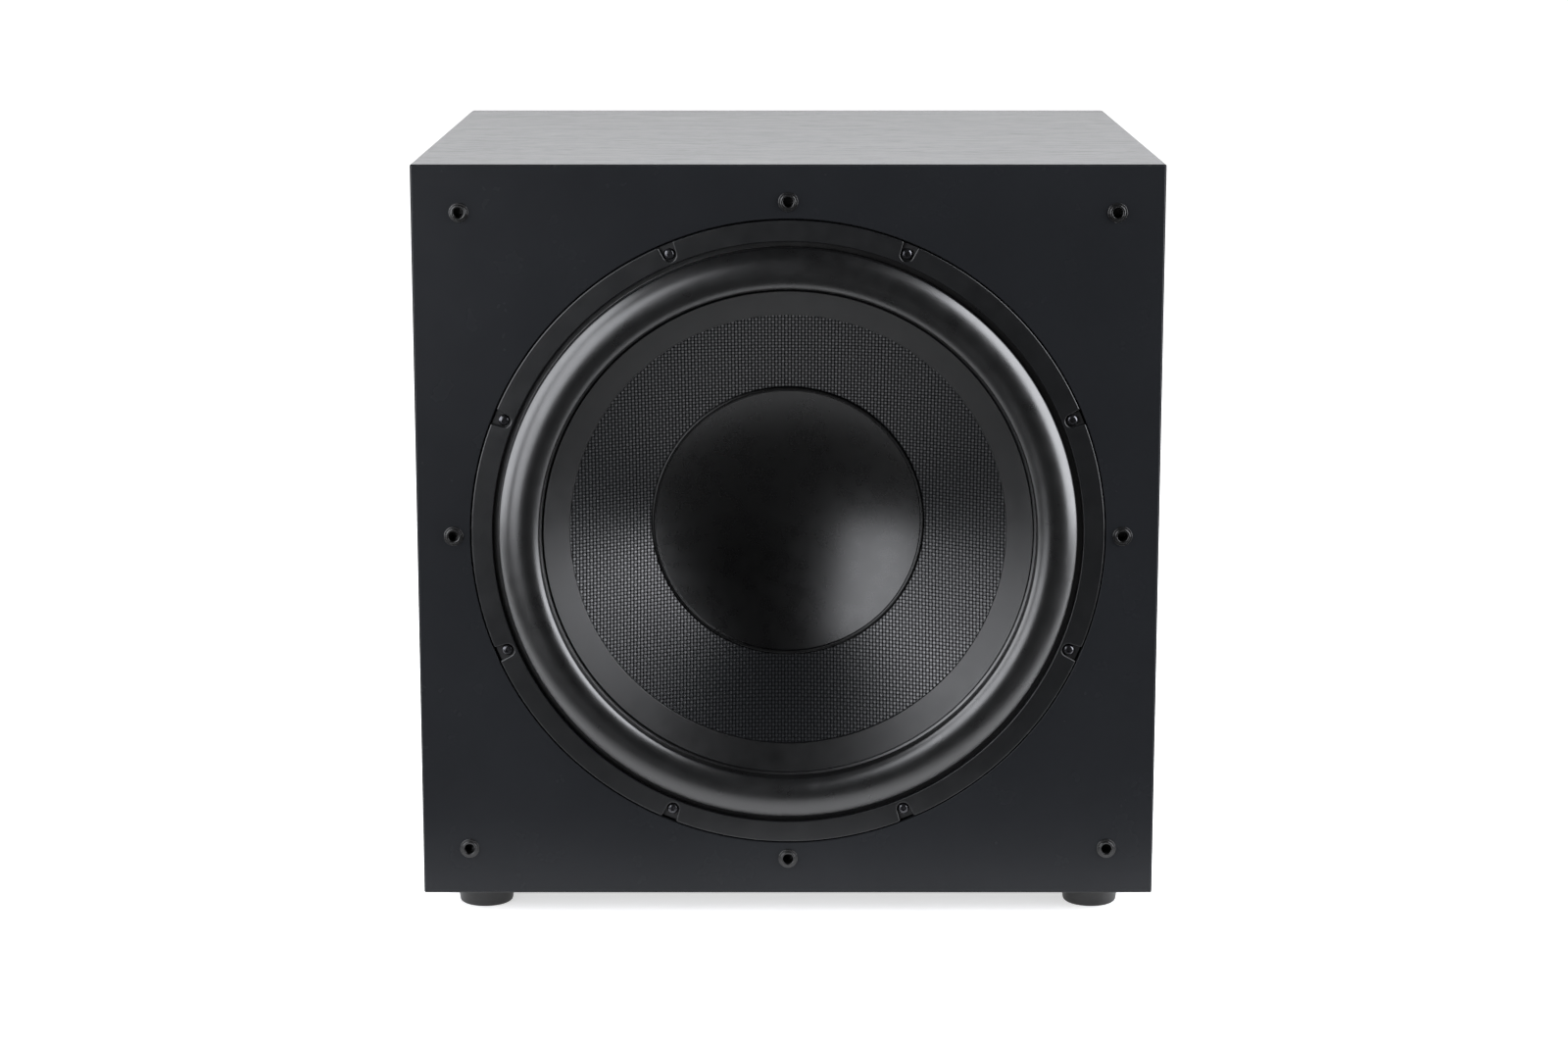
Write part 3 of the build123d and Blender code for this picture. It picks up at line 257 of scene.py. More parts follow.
def tube_mesh(name, points, radius):
    """A round lead along a smooth line of control points, in millimetres."""
    curve = bpy.data.curves.new(name, "CURVE")
    curve.dimensions = "3D"
    spline = curve.splines.new("NURBS")
    spline.points.add(len(points) - 1)
    for point, place in zip(spline.points, points):
        point.co = (*(place * MM), 1)
    spline.order_u = 3
    spline.use_endpoint_u = True
    curve.bevel_depth = radius * MM
    curve.bevel_resolution = 6
    curve.use_fill_caps = True
    curve.resolution_u = 8
    mesh = final_mesh(name, new_piece(name + "_line", curve))
    bpy.data.curves.remove(curve)
    return closed(mesh, 60)


def joined(name, meshes):
    """One mesh from several, which are used up."""
    work = bmesh.new()
    for mesh in meshes:
        work.from_mesh(mesh)
        bpy.data.meshes.remove(mesh)
    whole = bpy.data.meshes.new(name)
    work.to_mesh(whole)
    work.free()
    return whole


def copies(name, mesh, places):
    """One mesh with a copy at each place; the first mesh is drawn in the flat frame and used up."""
    moved = [mesh.copy() for _ in places]
    for twin, place in zip(moved, places):
        twin.transform(place)
    bpy.data.meshes.remove(mesh)
    return joined(name, moved)


def cut(mesh, cutter):
    """The mesh with another taken away from it; both are used up."""
    body, tool = new_piece("cut_body", mesh), new_piece("cut_tool", cutter)
    step = body.modifiers.new("cut", "BOOLEAN")
    step.object = tool
    step.operation = "DIFFERENCE"
    step.solver = "EXACT"
    result = final_mesh(mesh.name, body)
    bpy.data.objects.remove(tool)
    bpy.data.meshes.remove(mesh)
    bpy.data.meshes.remove(cutter)
    return smooth(result)


def blend_by_radius(piece, outer, inner):
    """Stretches a ring-shaped piece between the cabinet and the cone, by distance from the driver's axis."""
    start = driver_centre + Vector((outer * MM, 0, 0))
    end = driver_centre + Vector((inner * MM, 0, 0))
    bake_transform(piece, "cabinet", "cone_assembly", start=start, end=end)
    weights = piece.data.attributes["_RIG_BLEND"]
    for vertex, weight in zip(piece.data.vertices, weights.data):
        radius = math.hypot(vertex.co.x, vertex.co.z - axis_z) / MM
        share = min(max((outer - radius) / (outer - inner), 0), 1)
        weight.value = share * share * (3 - 2 * share)  # a smooth step, so neither edge gets a kink
    return piece


# ---------------------------------------------------------------- finishes
NOISE_SPAN = (0.3, 0.7)  # where nearly all of a noise pattern's values lie


def per(length_mm):
    """A pattern's scale that repeats it at a length."""
    return 1 / (length_mm * MM)


class Nodes:
    """A node tree under construction: each method adds a node and returns its output."""

    def __init__(self, tree):
        self.tree = tree

    def feed(self, socket, value):
        """Links a pattern to a socket, or sets the socket to a constant."""
        if isinstance(value, bpy.types.NodeSocket):
            self.tree.links.new(value, socket)
        else:
            socket.default_value = value

    def node(self, kind, feeds=(), **settings):
        """A new node with its settings, and (input, value) pairs fed to it."""
        made = self.tree.nodes.new("ShaderNode" + kind)
        for name, value in settings.items():
            setattr(made, name, value)
        for socket, value in feeds:
            self.feed(made.inputs[socket], value)
        return made

    def scaled(self, vector, scale):
        return self.node("Mapping", (("Vector", vector), ("Scale", scale))).outputs["Vector"]

    def position(self, scale=(1, 1, 1)):
        """Rest position in metres, scaled per axis, so a pattern keeps its real size."""
        return self.scaled(self.node("TexCoord").outputs["Object"], scale)

    def axes(self, vector):
        """A vector's three parts, by their letters."""
        return self.node("SeparateXYZ", (("Vector", vector),)).outputs

    def facing(self):
        """The three parts of the way that the surface faces."""
        return self.axes(self.node("NewGeometry").outputs["Normal"])

    def noise(self, vector, scale, detail=3.0, roughness=0.55):
        feeds = (("Vector", vector), ("Scale", scale), ("Detail", detail), ("Roughness", roughness))
        return self.node("TexNoise", feeds).outputs["Fac"]

    def math(self, operation, first, second=0.5):
        return self.node("Math", ((0, first), (1, second)), operation=operation).outputs["Value"]

    def thread(self, value):
        """A rounded thread's height over one pitch."""
        return self.math("SINE", self.math("MULTIPLY", self.math("FRACT", value), math.pi))

    def spread(self, value, low, high, to_low, to_high):
        """Maps a range of a pattern onto another range, clamped."""
        limits = (("From Min", low), ("From Max", high), ("To Min", to_low), ("To Max", to_high))
        return self.node("MapRange", (("Value", value), *limits)).outputs["Result"]

    def uneven(self, vector, scale, low, high, detail=3.0):
        """Noise between two values."""
        return self.spread(self.noise(vector, scale, detail), *NOISE_SPAN, low, high)


class Finish(Nodes):
    """A procedural material, made round its Principled shader."""

    def __init__(self, name, roughness=0.5, **values):
        self.material = bpy.data.materials.new(name)
        self.material.use_nodes = True
        super().__init__(self.material.node_tree)
        self.shader = self.tree.nodes["Principled BSDF"]
        self.shader.inputs["Roughness"].default_value = roughness
        for socket, value in values.items():
            self.shader.inputs[socket.replace("_", " ")].default_value = value

    def colours(self, factor, *stops):
        """The base colour from a pattern, through (place, colour) stops."""
        made = self.node("ValToRGB", (("Fac", factor),))
        ramp = made.color_ramp
        while len(ramp.elements) < len(stops):
            ramp.elements.new(0.5)
        for element, (place, colour) in zip(ramp.elements, stops):
            element.position = place
            element.color = (*colour, 1)
        self.feed(self.shader.inputs["Base Color"], made.outputs["Color"])

    def rough(self, value):
        self.feed(self.shader.inputs["Roughness"], value)

    def relief(self, height, depth_mm, strength=1.0):
        """Bump from a 0 to 1 height, over a real depth."""
        feeds = (("Height", height), ("Distance", depth_mm * MM), ("Strength", strength))
        self.feed(self.shader.inputs["Normal"], self.node("Bump", feeds).outputs["Normal"])


def grey(value, tint=0.0):
    """A grey with a slight blue tint."""
    return (value * (1 - tint / 2), value, value * (1 + tint))


def times(colour, factor):
    """A colour made darker or lighter."""
    return tuple(c * factor for c in colour)


def moulded(name, value, roughness, grain, relief, tint=0.0, specular=0.4, spread=0.05):
    """Moulded plastic or rubber: faint cloudiness, fine grain and uneven gloss."""
    finish = Finish(name, Specular_IOR_Level=specular)
    where = finish.position()
    cloud = finish.noise(where, 35, 4)
    finish.colours(cloud, (0.3, grey(value * 0.86, tint)), (0.7, grey(value * 1.14, tint)))
    finish.rough(finish.uneven(where, 90, roughness - spread, roughness + spread))
    finish.relief(finish.noise(where, per(grain), 2), relief)
    return finish


def brushed(name, colour, roughness, along, metallic=1.0, depth=0.01):
    """Metal with fine lines in one direction."""
    finish = Finish(name, Metallic=metallic)
    lines = finish.noise(finish.position(along), 60, 4, 0.7)
    finish.colours(lines, (0.35, times(colour, 0.82)), (0.65, colour))
    finish.rough(finish.spread(lines, *NOISE_SPAN, roughness - 0.07, roughness + 0.1))
    finish.relief(lines, depth)
    return finish


def cast_metal(name, colour, roughness, metallic, grain, depth):
    """Rough cast, ground or powder-coated metal."""
    finish = Finish(name, Metallic=metallic)
    where = finish.position()
    specks = finish.noise(where, per(grain), 3, 0.6)
    finish.colours(specks, (0.35, times(colour, 0.8)), (0.65, times(colour, 1.15)))
    finish.rough(finish.uneven(where, 60, roughness - 0.08, roughness + 0.08))
    finish.relief(specks, depth)
    return finish


def fibrous(name, dark, light, scale, roughness, depth):
    """Felt, pressed fibre or cloth fuzz."""
    finish = Finish(name, roughness, Specular_IOR_Level=0.2, Sheen_Weight=0.3)
    where = finish.position()
    fibres = finish.math("MULTIPLY", finish.noise(where, scale, 5, 0.75), finish.noise(where, scale / 9, 3))
    finish.colours(fibres, (0.12, dark), (0.4, light))
    finish.relief(fibres, depth)
    return finish


def raw_board():
    """Bare fibreboard, with its rear ends painted black."""
    finish = Finish("fibreboard", 0.75, Specular_IOR_Level=0.25)
    paint, board = (grey(0.008), grey(0.014)), ((0.2, 0.125, 0.065), (0.36, 0.24, 0.13))
    where = finish.position()
    fibres = finish.math("MULTIPLY", finish.noise(where, 1600, 5, 0.75), finish.noise(where, 180, 3))
    bare = finish.math("LESS_THAN", finish.facing()["Y"], 0.7)
    shade = finish.math("ADD", finish.spread(fibres, 0.12, 0.4, 0.0, 0.4), finish.math("MULTIPLY", bare, 0.6))
    finish.colours(shade, (0.0, paint[0]), (0.4, paint[1]), (0.6, board[0]), (1.0, board[1]))
    finish.relief(fibres, 0.05)
    return finish


def wood_film():
    """Black ash vinyl: the grain runs round the box, across the top and up the sides."""
    finish = Finish("black_ash_vinyl", Specular_IOR_Level=0.5)
    spot = finish.axes(finish.node("TexCoord").outputs["Object"])
    facing = finish.facing()
    on_side = finish.math("GREATER_THAN", finish.math("ABSOLUTE", facing["X"]), 0.6)
    along = finish.node("Mix", (("Factor", on_side), ("A", spot["X"]), ("B", spot["Z"])))
    wall = finish.math("ADD", facing["X"], facing["Z"])
    sheet = finish.node("CombineXYZ", (("X", along.outputs["Result"]), ("Y", spot["Y"]), ("Z", wall)))
    apart = 3.7  # keeps the four walls' patterns different

    def streaks(length_mm, width_mm, detail, roughness=0.6):
        where = finish.scaled(sheet.outputs["Vector"], (per(length_mm), per(width_mm), apart))
        return finish.noise(where, 1.0, detail, roughness)

    bands = finish.spread(streaks(260, 11, 3), 0.35, 0.6, 0.35, 1)
    pores = finish.spread(streaks(16, 0.75, 3, 0.7), 0.52, 0.66, 0, 1)
    hairs = finish.spread(streaks(45, 0.32, 2), 0.45, 0.65, 0, 0.55)
    grain = finish.math("MAXIMUM", finish.math("MULTIPLY", pores, bands), hairs)
    finish.colours(grain, (0.0, grey(0.026, 0.04)), (1.0, grey(0.005)))
    finish.rough(finish.spread(grain, 0, 1, 0.34, 0.66))
    finish.relief(finish.math("SUBTRACT", 1.0, grain), 0.05, 0.8)
    return finish


def lacquer():
    """The baffle's satin coat: very fine, shallow orange peel."""
    finish = Finish("baffle_lacquer", Specular_IOR_Level=0.13)
    where = finish.position()
    finish.colours(finish.noise(where, 9, 4), (0.3, grey(0.0105, 0.12)), (0.7, grey(0.0125, 0.12)))
    finish.rough(finish.uneven(where, 40, 0.24, 0.28))
    finish.relief(finish.noise(where, 1400, 2), 0.004)
    return finish


WEAVE_PITCH = 2.05  # mm from thread to thread


def woven():
    """Plain weave set in resin: rounded threads that pass over and under, across and up, with painted shade in
    the gaps between them.
    """
    finish = Finish("woven_fibre")
    spot = finish.axes(finish.position((per(WEAVE_PITCH),) * 3))
    across, up = spot["X"], spot["Z"]
    cell = finish.math("ADD", finish.math("FLOOR", across), finish.math("FLOOR", up))
    on_top = finish.math("GREATER_THAN", finish.math("FRACT", finish.math("MULTIPLY", cell, 0.5)), 0.25)
    crown_up = finish.math("POWER", finish.thread(across), 0.7)
    crossing = finish.spread(finish.thread(up), 0, 1, 0.35, 1)
    fray = finish.uneven(finish.position(), 2600, 0.8, 1, 2)
    body = finish.math("MULTIPLY", finish.math("MULTIPLY", crown_up, crossing), fray)
    painted_weave_shade = finish.math("MULTIPLY", body, finish.spread(on_top, 0, 1, 1.0, 0.75))
    # Painted shade: the base colour is darkest in the gaps between threads, a quarter dimmer on every other
    # cell, and lightest on the upright threads' crowns. The gloss level follows the same mask.
    finish.colours(painted_weave_shade, (0.1, grey(0.002, 0.1)), (0.5, grey(0.006, 0.1)), (1.0, grey(0.012, 0.1)))
    finish.rough(finish.spread(painted_weave_shade, 0.1, 1, 0.36, 0.24))
    finish.feed(finish.shader.inputs["Specular IOR Level"], finish.spread(painted_weave_shade, 0.2, 0.9, 0.0, 0.9))
    finish.relief(body, 0.05)
    return finish


def spider_weave():
    """Open woven cloth, dipped in amber resin, coloured with painted shade: darker between the threads,
    lighter on their crowns.
    """
    finish = Finish("spider_cloth", 0.7, Specular_IOR_Level=0.25)
    threads_per_metre = 1300
    spot = finish.axes(finish.position((threads_per_metre,) * 3))
    cloth = finish.math("MAXIMUM", finish.thread(spot["X"]), finish.thread(spot["Z"]))
    finish.colours(cloth, (0.2, (0.1, 0.055, 0.015)), (1.0, (0.42, 0.27, 0.1)))
    finish.relief(cloth, 0.15)
    return finish


def winding(name, dark, light, pitch_mm, axis):
    """Wire laid in turns along an axis, coloured with painted shade: dark in the grooves between turns, light
    on their crowns.
    """
    finish = Finish(name, 0.3, Metallic=0.9)
    turns = finish.thread(finish.axes(finish.position((per(pitch_mm),) * 3))[axis])
    finish.colours(turns, (0.1, dark), (0.8, light))
    finish.relief(turns, 0.2)
    return finish


def laminate():
    """Solder-masked board with faint tracks."""
    finish = Finish("circuit_board", 0.35)
    feeds = (("Vector", finish.position()), ("Scale", 260))
    tracks = finish.node("TexVoronoi", feeds).outputs["Distance"]
    finish.colours(tracks, (0.1, (0.004, 0.07, 0.02)), (0.45, (0.008, 0.11, 0.035)))
    finish.relief(tracks, 0.05)
    return finish


def shrink_sleeve():
    """A can's plastic sleeve: deep, slightly cloudy blue."""
    finish = Finish("capacitor_sleeve", 0.25, Coat_Weight=0.4)
    cloud = finish.noise(finish.position(), 120, 3)
    finish.colours(cloud, (0.3, (0.006, 0.01, 0.04)), (0.7, (0.012, 0.02, 0.07)))
    finish.relief(cloud, 0.05)
    return finish


def diffuser():
    """The status light's milky lens."""
    finish = Finish("lens_plastic", 0.3, Transmission_Weight=0.35, Coat_Weight=0.5)
    haze = finish.noise(finish.position(), 700, 3)
    finish.colours(haze, (0.3, (0.25, 0.42, 0.75)), (0.7, (0.4, 0.58, 0.9)))
    finish.relief(haze, 0.02)
    return finish


MOULDED = {  # grey, roughness, grain and relief in mm, then tint, specular and the roughness's spread
    "black_board": (0.014, 0.6, 0.8, 0.05),
    "socket_rubber": (0.006, 0.24, 0.5, 0.01, 0.0, 0.5),
    "foot_rubber": (0.01, 0.5, 0.6, 0.03),
    "grey_washer": (0.3, 0.5, 0.5, 0.01),
    "foam_gasket": (0.012, 0.8, 0.4, 0.06),
    "ring_plastic": (0.004, 0.33, 0.5, 0.008, 0.1, 0.45, 0.03),
    "surround_rubber": (0.003, 0.3, 0.7, 0.008, 0.03, 0.72, 0.03),
    "band_rubber": (0.0015, 0.36, 0.5, 0.012, 0.05, 0.42, 0.03),
    "cap_plastic": (0.0005, 0.28, 0.45, 0.006, 0.03, 0.42, 0.02),
    "amp_plastic": (0.009, 0.45, 0.4, 0.02),
    "knob_plastic": (0.01, 0.38, 0.3, 0.02),
    "lever_plastic": (0.55, 0.4, 0.4, 0.01),
    "rocker_plastic": (0.007, 0.2, 0.8, 0.006, 0.0, 0.5),
    "wire_jacket": (0.12, 0.45, 0.8, 0.02),
    "printed_ink": (0.62, 0.6, 0.3, 0.005),
}
BRUSHED = {  # colour, roughness, the lines' fineness on each axis, then metallic and relief in mm
    "zinc_steel": ((0.62, 0.63, 0.66), 0.3, (1, 60, 60)),
    "coil_former": ((0.35, 0.17, 0.04), 0.35, (1, 1, 40), 0.0),
    "plated_steel": ((0.16, 0.16, 0.17), 0.35, (40, 1, 40)),
    "amp_enamel": ((0.020, 0.020, 0.021), 0.42, (2, 60, 60), 0.4, 0.006),
    "nickel_brass": ((0.66, 0.62, 0.53), 0.25, (60, 1, 60)),
    "barrel_gold": ((0.85, 0.6, 0.24), 0.2, (60, 1, 60)),
    "sink_aluminium": ((0.5, 0.5, 0.52), 0.35, (60, 1, 60)),
}
CAST = {  # colour, roughness, metallic, grain and relief in mm
    "black_steel": ((0.06, 0.06, 0.065), 0.22, 0.9, 0.3, 0.005),
    "cast_basket": ((0.005, 0.005, 0.0055), 0.6, 0.1, 0.5, 0.05),
    "ferrite": ((0.045, 0.045, 0.05), 0.55, 0.2, 0.4, 0.03),
}
WOUND = {  # dark groove-shade and light crown colours, pitch in mm, axis
    "copper_wire": ((0.2, 0.06, 0.02), (0.75, 0.3, 0.14), 0.6, "Y"),
    "braided_copper": ((0.25, 0.09, 0.03), (0.8, 0.38, 0.16), 0.9, "X"),
    "winding_tape": ((0.3, 0.2, 0.02), (0.6, 0.45, 0.08), 4, "X"),
}
FIBROUS = {  # dark and light colours, fineness, roughness, relief in mm
    "terminal_board": ((0.05, 0.02, 0.008), (0.12, 0.055, 0.02), 700, 0.5, 0.02),
    "damping_felt": ((0.3, 0.3, 0.28), (0.72, 0.72, 0.69), 500, 0.95, 0.9),
}
FINISHES = {
    "black_ash_vinyl": wood_film(),
    "fibreboard": raw_board(),
    "baffle_lacquer": lacquer(),
    "woven_fibre": woven(),
    "spider_cloth": spider_weave(),
    "lens_plastic": diffuser(),
    "circuit_board": laminate(),
    "capacitor_sleeve": shrink_sleeve(),
}
TABLES = ((moulded, MOULDED), (brushed, BRUSHED), (cast_metal, CAST), (winding, WOUND), (fibrous, FIBROUS))
for make, table in TABLES:
    FINISHES.update({name: make(name, *values) for name, values in table.items()})
for part in frame["record"]["subparts"]:
    node = frame["nodes"][part["node"]]
    node.data.materials.clear()
    node.data.materials.append(FINISHES[part["material_slot"]].material)

# ---------------------------------------------------------------- pieces
NODE_SLOT = {part["node"]: part["material_slot"] for part in frame["record"]["subparts"]}
NODE_BODY = {
    node: body for body, nodes in frame["record"]["behaviour"]["bodies"].items() for node in nodes
}


def add(name, mesh, slot, body="cabinet", finish=None, bends=None):
    """A piece with its finish, riding on a body, or bending between two radii of the driver."""
    if isinstance(mesh, list):
        mesh = joined(name, mesh)
    piece = new_piece(name, mesh)
    mesh.materials.clear()
    mesh.materials.append(FINISHES[finish or slot].material)
    if bends:
        blend_by_radius(piece, *bends)
    else:
        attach(piece, body)
    step = piece.modifiers.new("weighted normals", "WEIGHTED_NORMAL")
    step.keep_sharp = True  # large flats then stay flat beside their rounded edges
    return piece


def stand_in(name, mesh, *nodes, bends=None):
    """A finer piece in place of CAD nodes, with the first one's finish and body."""
    piece = add(name, mesh, NODE_SLOT[nodes[0]], NODE_BODY[nodes[0]], bends=bends)
    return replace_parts(piece, *nodes)


def section(name, corners, place=FACING_FRONT, steps=256, radius=0.3, angle=40):
    """A turned solid from (radius, depth) corners, which are rounded; a depth goes inwards."""
    outline = [(max(x, 0.0), -depth) for x, depth in soften(corners, radius, 3)]
    return turned_mesh(name, outline, place, steps, angle)


# ---------------------------------------------------------------- cabinet
skin_thickness, skin_start = 0.4, 0.9
skin = plate_mesh(
    "cabinet_skin",
    [
        rectangle(cabinet_width, cabinet_height, radius=1.1),
        rectangle(cabinet_width - 2 * skin_thickness, cabinet_height - 2 * skin_thickness, radius=0.7),
    ],
    FACING_FRONT, -skin_start, -cabinet_depth, edge=0.14,
)
stand_in("cabinet_skin", skin, "vinyl_wrap")

rebate_radius = ring_radius + 0.8
screw_circle = 187.5
screw_angles = [22.5 + 45 * index for index in range(8)]
screw_spots = arc(0, 0, screw_circle, screw_angles[0], screw_angles[-1], 7)
corner, middle = 198.5, 205.0  # how far the grille sockets are from the driver's axis
socket_spots = [(x, y) for x in (-corner, corner) for y in (-corner, corner)]
socket_spots += [(0, middle), (0, -middle), (middle, 0), (-middle, 0)]
face_width = carcass_width - 0.5
face_depth, baffle_depth, driver_hole = 10, 25, 180
baffle_face = plate_mesh(
    "baffle_face",
    [rectangle(face_width, face_width, radius=0.8), circle(rebate_radius, steps=256)]
    + [circle(4.5, x, y, 32) for x, y in socket_spots],
    FACING_FRONT, 0, -face_depth, edge=0.6, edge_steps=4,
)
baffle_core = plate_mesh(
    "baffle_core",
    [rectangle(face_width, face_width, radius=0.8), circle(driver_hole, steps=192)]
    + [circle(2.8, x, y, 24) for x, y in screw_spots],
    FACING_FRONT, -face_depth, -baffle_depth, edge=0.2,
)
stand_in("baffle", [baffle_face, baffle_core], "front_baffle")

socket_profile = [
    (0, 9.0), (3.2, 9.0, 0.2), (3.2, -1.7, 0.5), (4.6, -1.7, 0.6), (4.7, -0.9, 0.2), (6.0, -0.9, 0.4),
    (6.0, 0.0, 0.05), (4.5, 0.0, 0.05), (4.5, 11.0, 0.4), (0, 11.0),
]
socket = section("grille_cups", socket_profile, FLAT, 48, 0.0)
cups = copies("grille_cups", socket, [placed(FACING_FRONT, x, y) for x, y in socket_spots])
stand_in("grille_cups", cups, "grille_sockets")

foot_profile = [
    (8.0, 0.0, 0.6), (16.6, 0.0, 2.4), (18.0, 12.5, 0.4), (17.2, 13.5, 0.2), (2.6, 13.5, 0.1), (2.6, 8.5, 0.1),
    (8.0, 8.5, 0.4),
]
washer_profile = [(2.6, 13.5), (17.2, 13.5, 0.3), (17.2, 15.0, 0.3), (2.6, 15.0)]
for side in ("front_left", "front_right", "rear_left", "rear_right"):
    low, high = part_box("foot_" + side)
    under = Matrix.Translation(((low.x + high.x) / 2, (low.y + high.y) / 2, 0)) @ FACING_DOWN
    stand_in("bumper_" + side, section("bumper", foot_profile, under, 96), "foot_" + side)
    washer = section("washer", washer_profile, under, 96)
    piece = add("washer_" + side, washer, "grey_washer")
    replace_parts(piece, "foot_washers")


def felt_pad(name, side):
    """A soft pad with a crowned, uneven face, lying against a side wall."""
    low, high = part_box("damping_pads")
    across, up = 24, 44  # squares of the mesh
    thickness, pull_in = 12 * MM, 0.012
    wall = side * high.x
    work = bmesh.new()
    layers = []
    for layer in (0, 1):
        rows = []
        for j in range(up + 1):
            row = []
            for i in range(across + 1):
                u, v = i / across * 2 - 1, j / up * 2 - 1
                edge = (1 - abs(u) ** 10) * (1 - abs(v) ** 16)
                ripple = 0.05 * math.sin(9 * u + 4 * v) * math.sin(13 * v)
                swell = thickness * (0.35 + 0.6 * edge ** 0.35 + ripple * edge) * layer
                pull = 1 - pull_in * (1 - layer)
                y = (low.y + high.y) / 2 + u * pull * (high.y - low.y) / 2
                z = (low.z + high.z) / 2 + v * pull * (high.z - low.z) / 2
                row.append(work.verts.new((wall - side * min(swell, thickness), y, z)))
            rows.append(row)
        layers.append(rows)
    for rows in layers:
        for j in range(up):
            for i in range(across):
                work.faces.new((rows[j][i], rows[j][i + 1], rows[j + 1][i + 1], rows[j + 1][i]))
    back, front = layers
    rim = [(0, i) for i in range(across)] + [(j, across) for j in range(up)]
    rim += [(up, across - i) for i in range(across)] + [(up - j, 0) for j in range(up)]
    for (a, b), (c, d) in zip(rim, rim[1:] + rim[:1]):
        work.faces.new((back[a][b], back[c][d], front[c][d], front[a][b]))
    bmesh.ops.recalc_face_normals(work, faces=work.faces)
    mesh = bpy.data.meshes.new(name)
    work.to_mesh(mesh)
    work.free()
    smooth(mesh, 60)
    return mesh


for name, side in (("felt_left", -1), ("felt_right", 1)):
    pad = stand_in(name, felt_pad(name, side), "damping_pads")

# ---------------------------------------------------------------- driver
slot_centre, slot_half, mouth_half = screw_circle - 0.4, 4.0, 4.8


def slotted_outline():
    """The ring's outer outline: a circle with eight slots that open outwards."""
    outline = []
    reach = math.degrees(math.asin(mouth_half / ring_radius))
    for angle, following in zip(screw_angles, screw_angles[1:] + [screw_angles[0] + 360]):
        turn = Matrix.Rotation(math.radians(angle), 2)
        mouth_x = math.sqrt(ring_radius ** 2 - mouth_half ** 2)
        notch = [(mouth_x, -mouth_half, 1.0)]
        notch += [(x, y, 0) for x, y in arc(slot_centre, 0, slot_half, -90, -270, 20)]
        notch += [(mouth_x, mouth_half, 1.0)]
        outline += [(*(turn @ Vector((x, y))), radius) for x, y, radius in notch]
        rim = arc(0, 0, ring_radius, angle + reach, following - reach, 30)[1:-1]
        outline += [(x, y, 0) for x, y in rim]
    return soften(outline)


trim_outlines = [slotted_outline(), circle(181, steps=256)]
trim = plate_mesh("trim", trim_outlines, FACING_FRONT, 0.6, -3.0, edge=0.7, edge_steps=5)
rim = section("rim", [(181.4, 2.0), (185.3, 2.0), (185.3, 4.8), (181.4, 4.8)], radius=0.2)
stand_in("trim", [trim, rim], "trim_ring")

screw_profile = [
    (0, -2.9), (1.2, -2.9), (2.2, -2.75), (3.0, -2.2), (3.45, -1.2), (3.5, 0, 0.1), (2.0, 0, 0.1),
    (2.0, 26, 0.3), (0, 26),
]
head = section("head", screw_profile, FLAT, 48, 0.6)
socket_cut = plate_mesh("hex", [polygon(6, 1.25)], FLAT, 1.7, 3.4, edge=0.02, edge_steps=0)
screw = cut(head, socket_cut)
screws = copies("ring_screws", screw, [placed(FACING_FRONT, x, y, -3.0) for x, y in screw_spots])
stand_in("ring_screws", screws, "driver_screws")

# The roll's section: a long arc falls to each side of the crest, and a tight one turns it into a wall.
roll_crest, roll_proud, roll_wall = 163.0, 8.4, 1.4
outer_curve, inner_curve, shoulder_slope, shoulder_round = 19.4, 14.0, 44, 3.0
cap_radius, cap_depth, cone_slope = 84.0, 48.0, 0.626
cone_edge, roll_foot, cone_wall = 150.2, 144.0, 1.3


def cone_face(radius):
    """Depth of the cone's front face at a radius."""
    return cap_depth + (cap_radius - radius) * cone_slope


lip_face, lip_far, lip_edge = 4.8, 6.0, 185.2
OUTWARD, INWARD = 1, -1


def shoulder_centre(way, curve):
    """Centre of the tight arc between the roll's long arc and its wall."""
    turn = math.radians(shoulder_slope)
    reach = curve - shoulder_round
    return roll_crest + way * reach * math.sin(turn), curve - roll_proud - reach * math.cos(turn)


def roll_side(way, curve, inset):
    """One side of the roll's section, from its crest to its wall, at a distance inside its face."""
    shoulder = 270 + way * shoulder_slope
    long_arc = arc(roll_crest, curve - roll_proud, curve - inset, 270, shoulder, 24)
    tight_arc = arc(*shoulder_centre(way, curve), shoulder_round - inset, shoulder, 270 + way * 90, 10)
    return [(x, y, 0) for x, y in long_arc + tight_arc[1:]]


roll_outer = shoulder_centre(OUTWARD, outer_curve)[0] + shoulder_round
roll_inner = shoulder_centre(INWARD, inner_curve)[0] - shoulder_round
roll_corners = [(roll_inner, lip_face, 0.2)]
roll_corners += roll_side(INWARD, inner_curve, 0)[::-1] + roll_side(OUTWARD, outer_curve, 0)[1:]
roll_corners += [(roll_outer, lip_face, 0.6), (lip_edge, lip_face, 0.2), (lip_edge, lip_far, 0.2)]
roll_corners += [(roll_outer - roll_wall, lip_far, 0.3)]
roll_corners += roll_side(OUTWARD, outer_curve, roll_wall)[::-1]
roll_corners += roll_side(INWARD, inner_curve, roll_wall)[1:]
roll_corners += [
    (roll_inner + roll_wall, 5.4, 0.3),
    (cone_edge, cone_face(cone_edge), 0.2),
    (roll_foot, cone_face(roll_foot), 0.1),
    (roll_foot, cone_face(roll_foot) - 0.8, 0.3),
]
roll = section("half_roll", roll_corners, radius=0, angle=50)
stand_in("half_roll", roll, "surround", bends=(roll_outer, roll_inner))

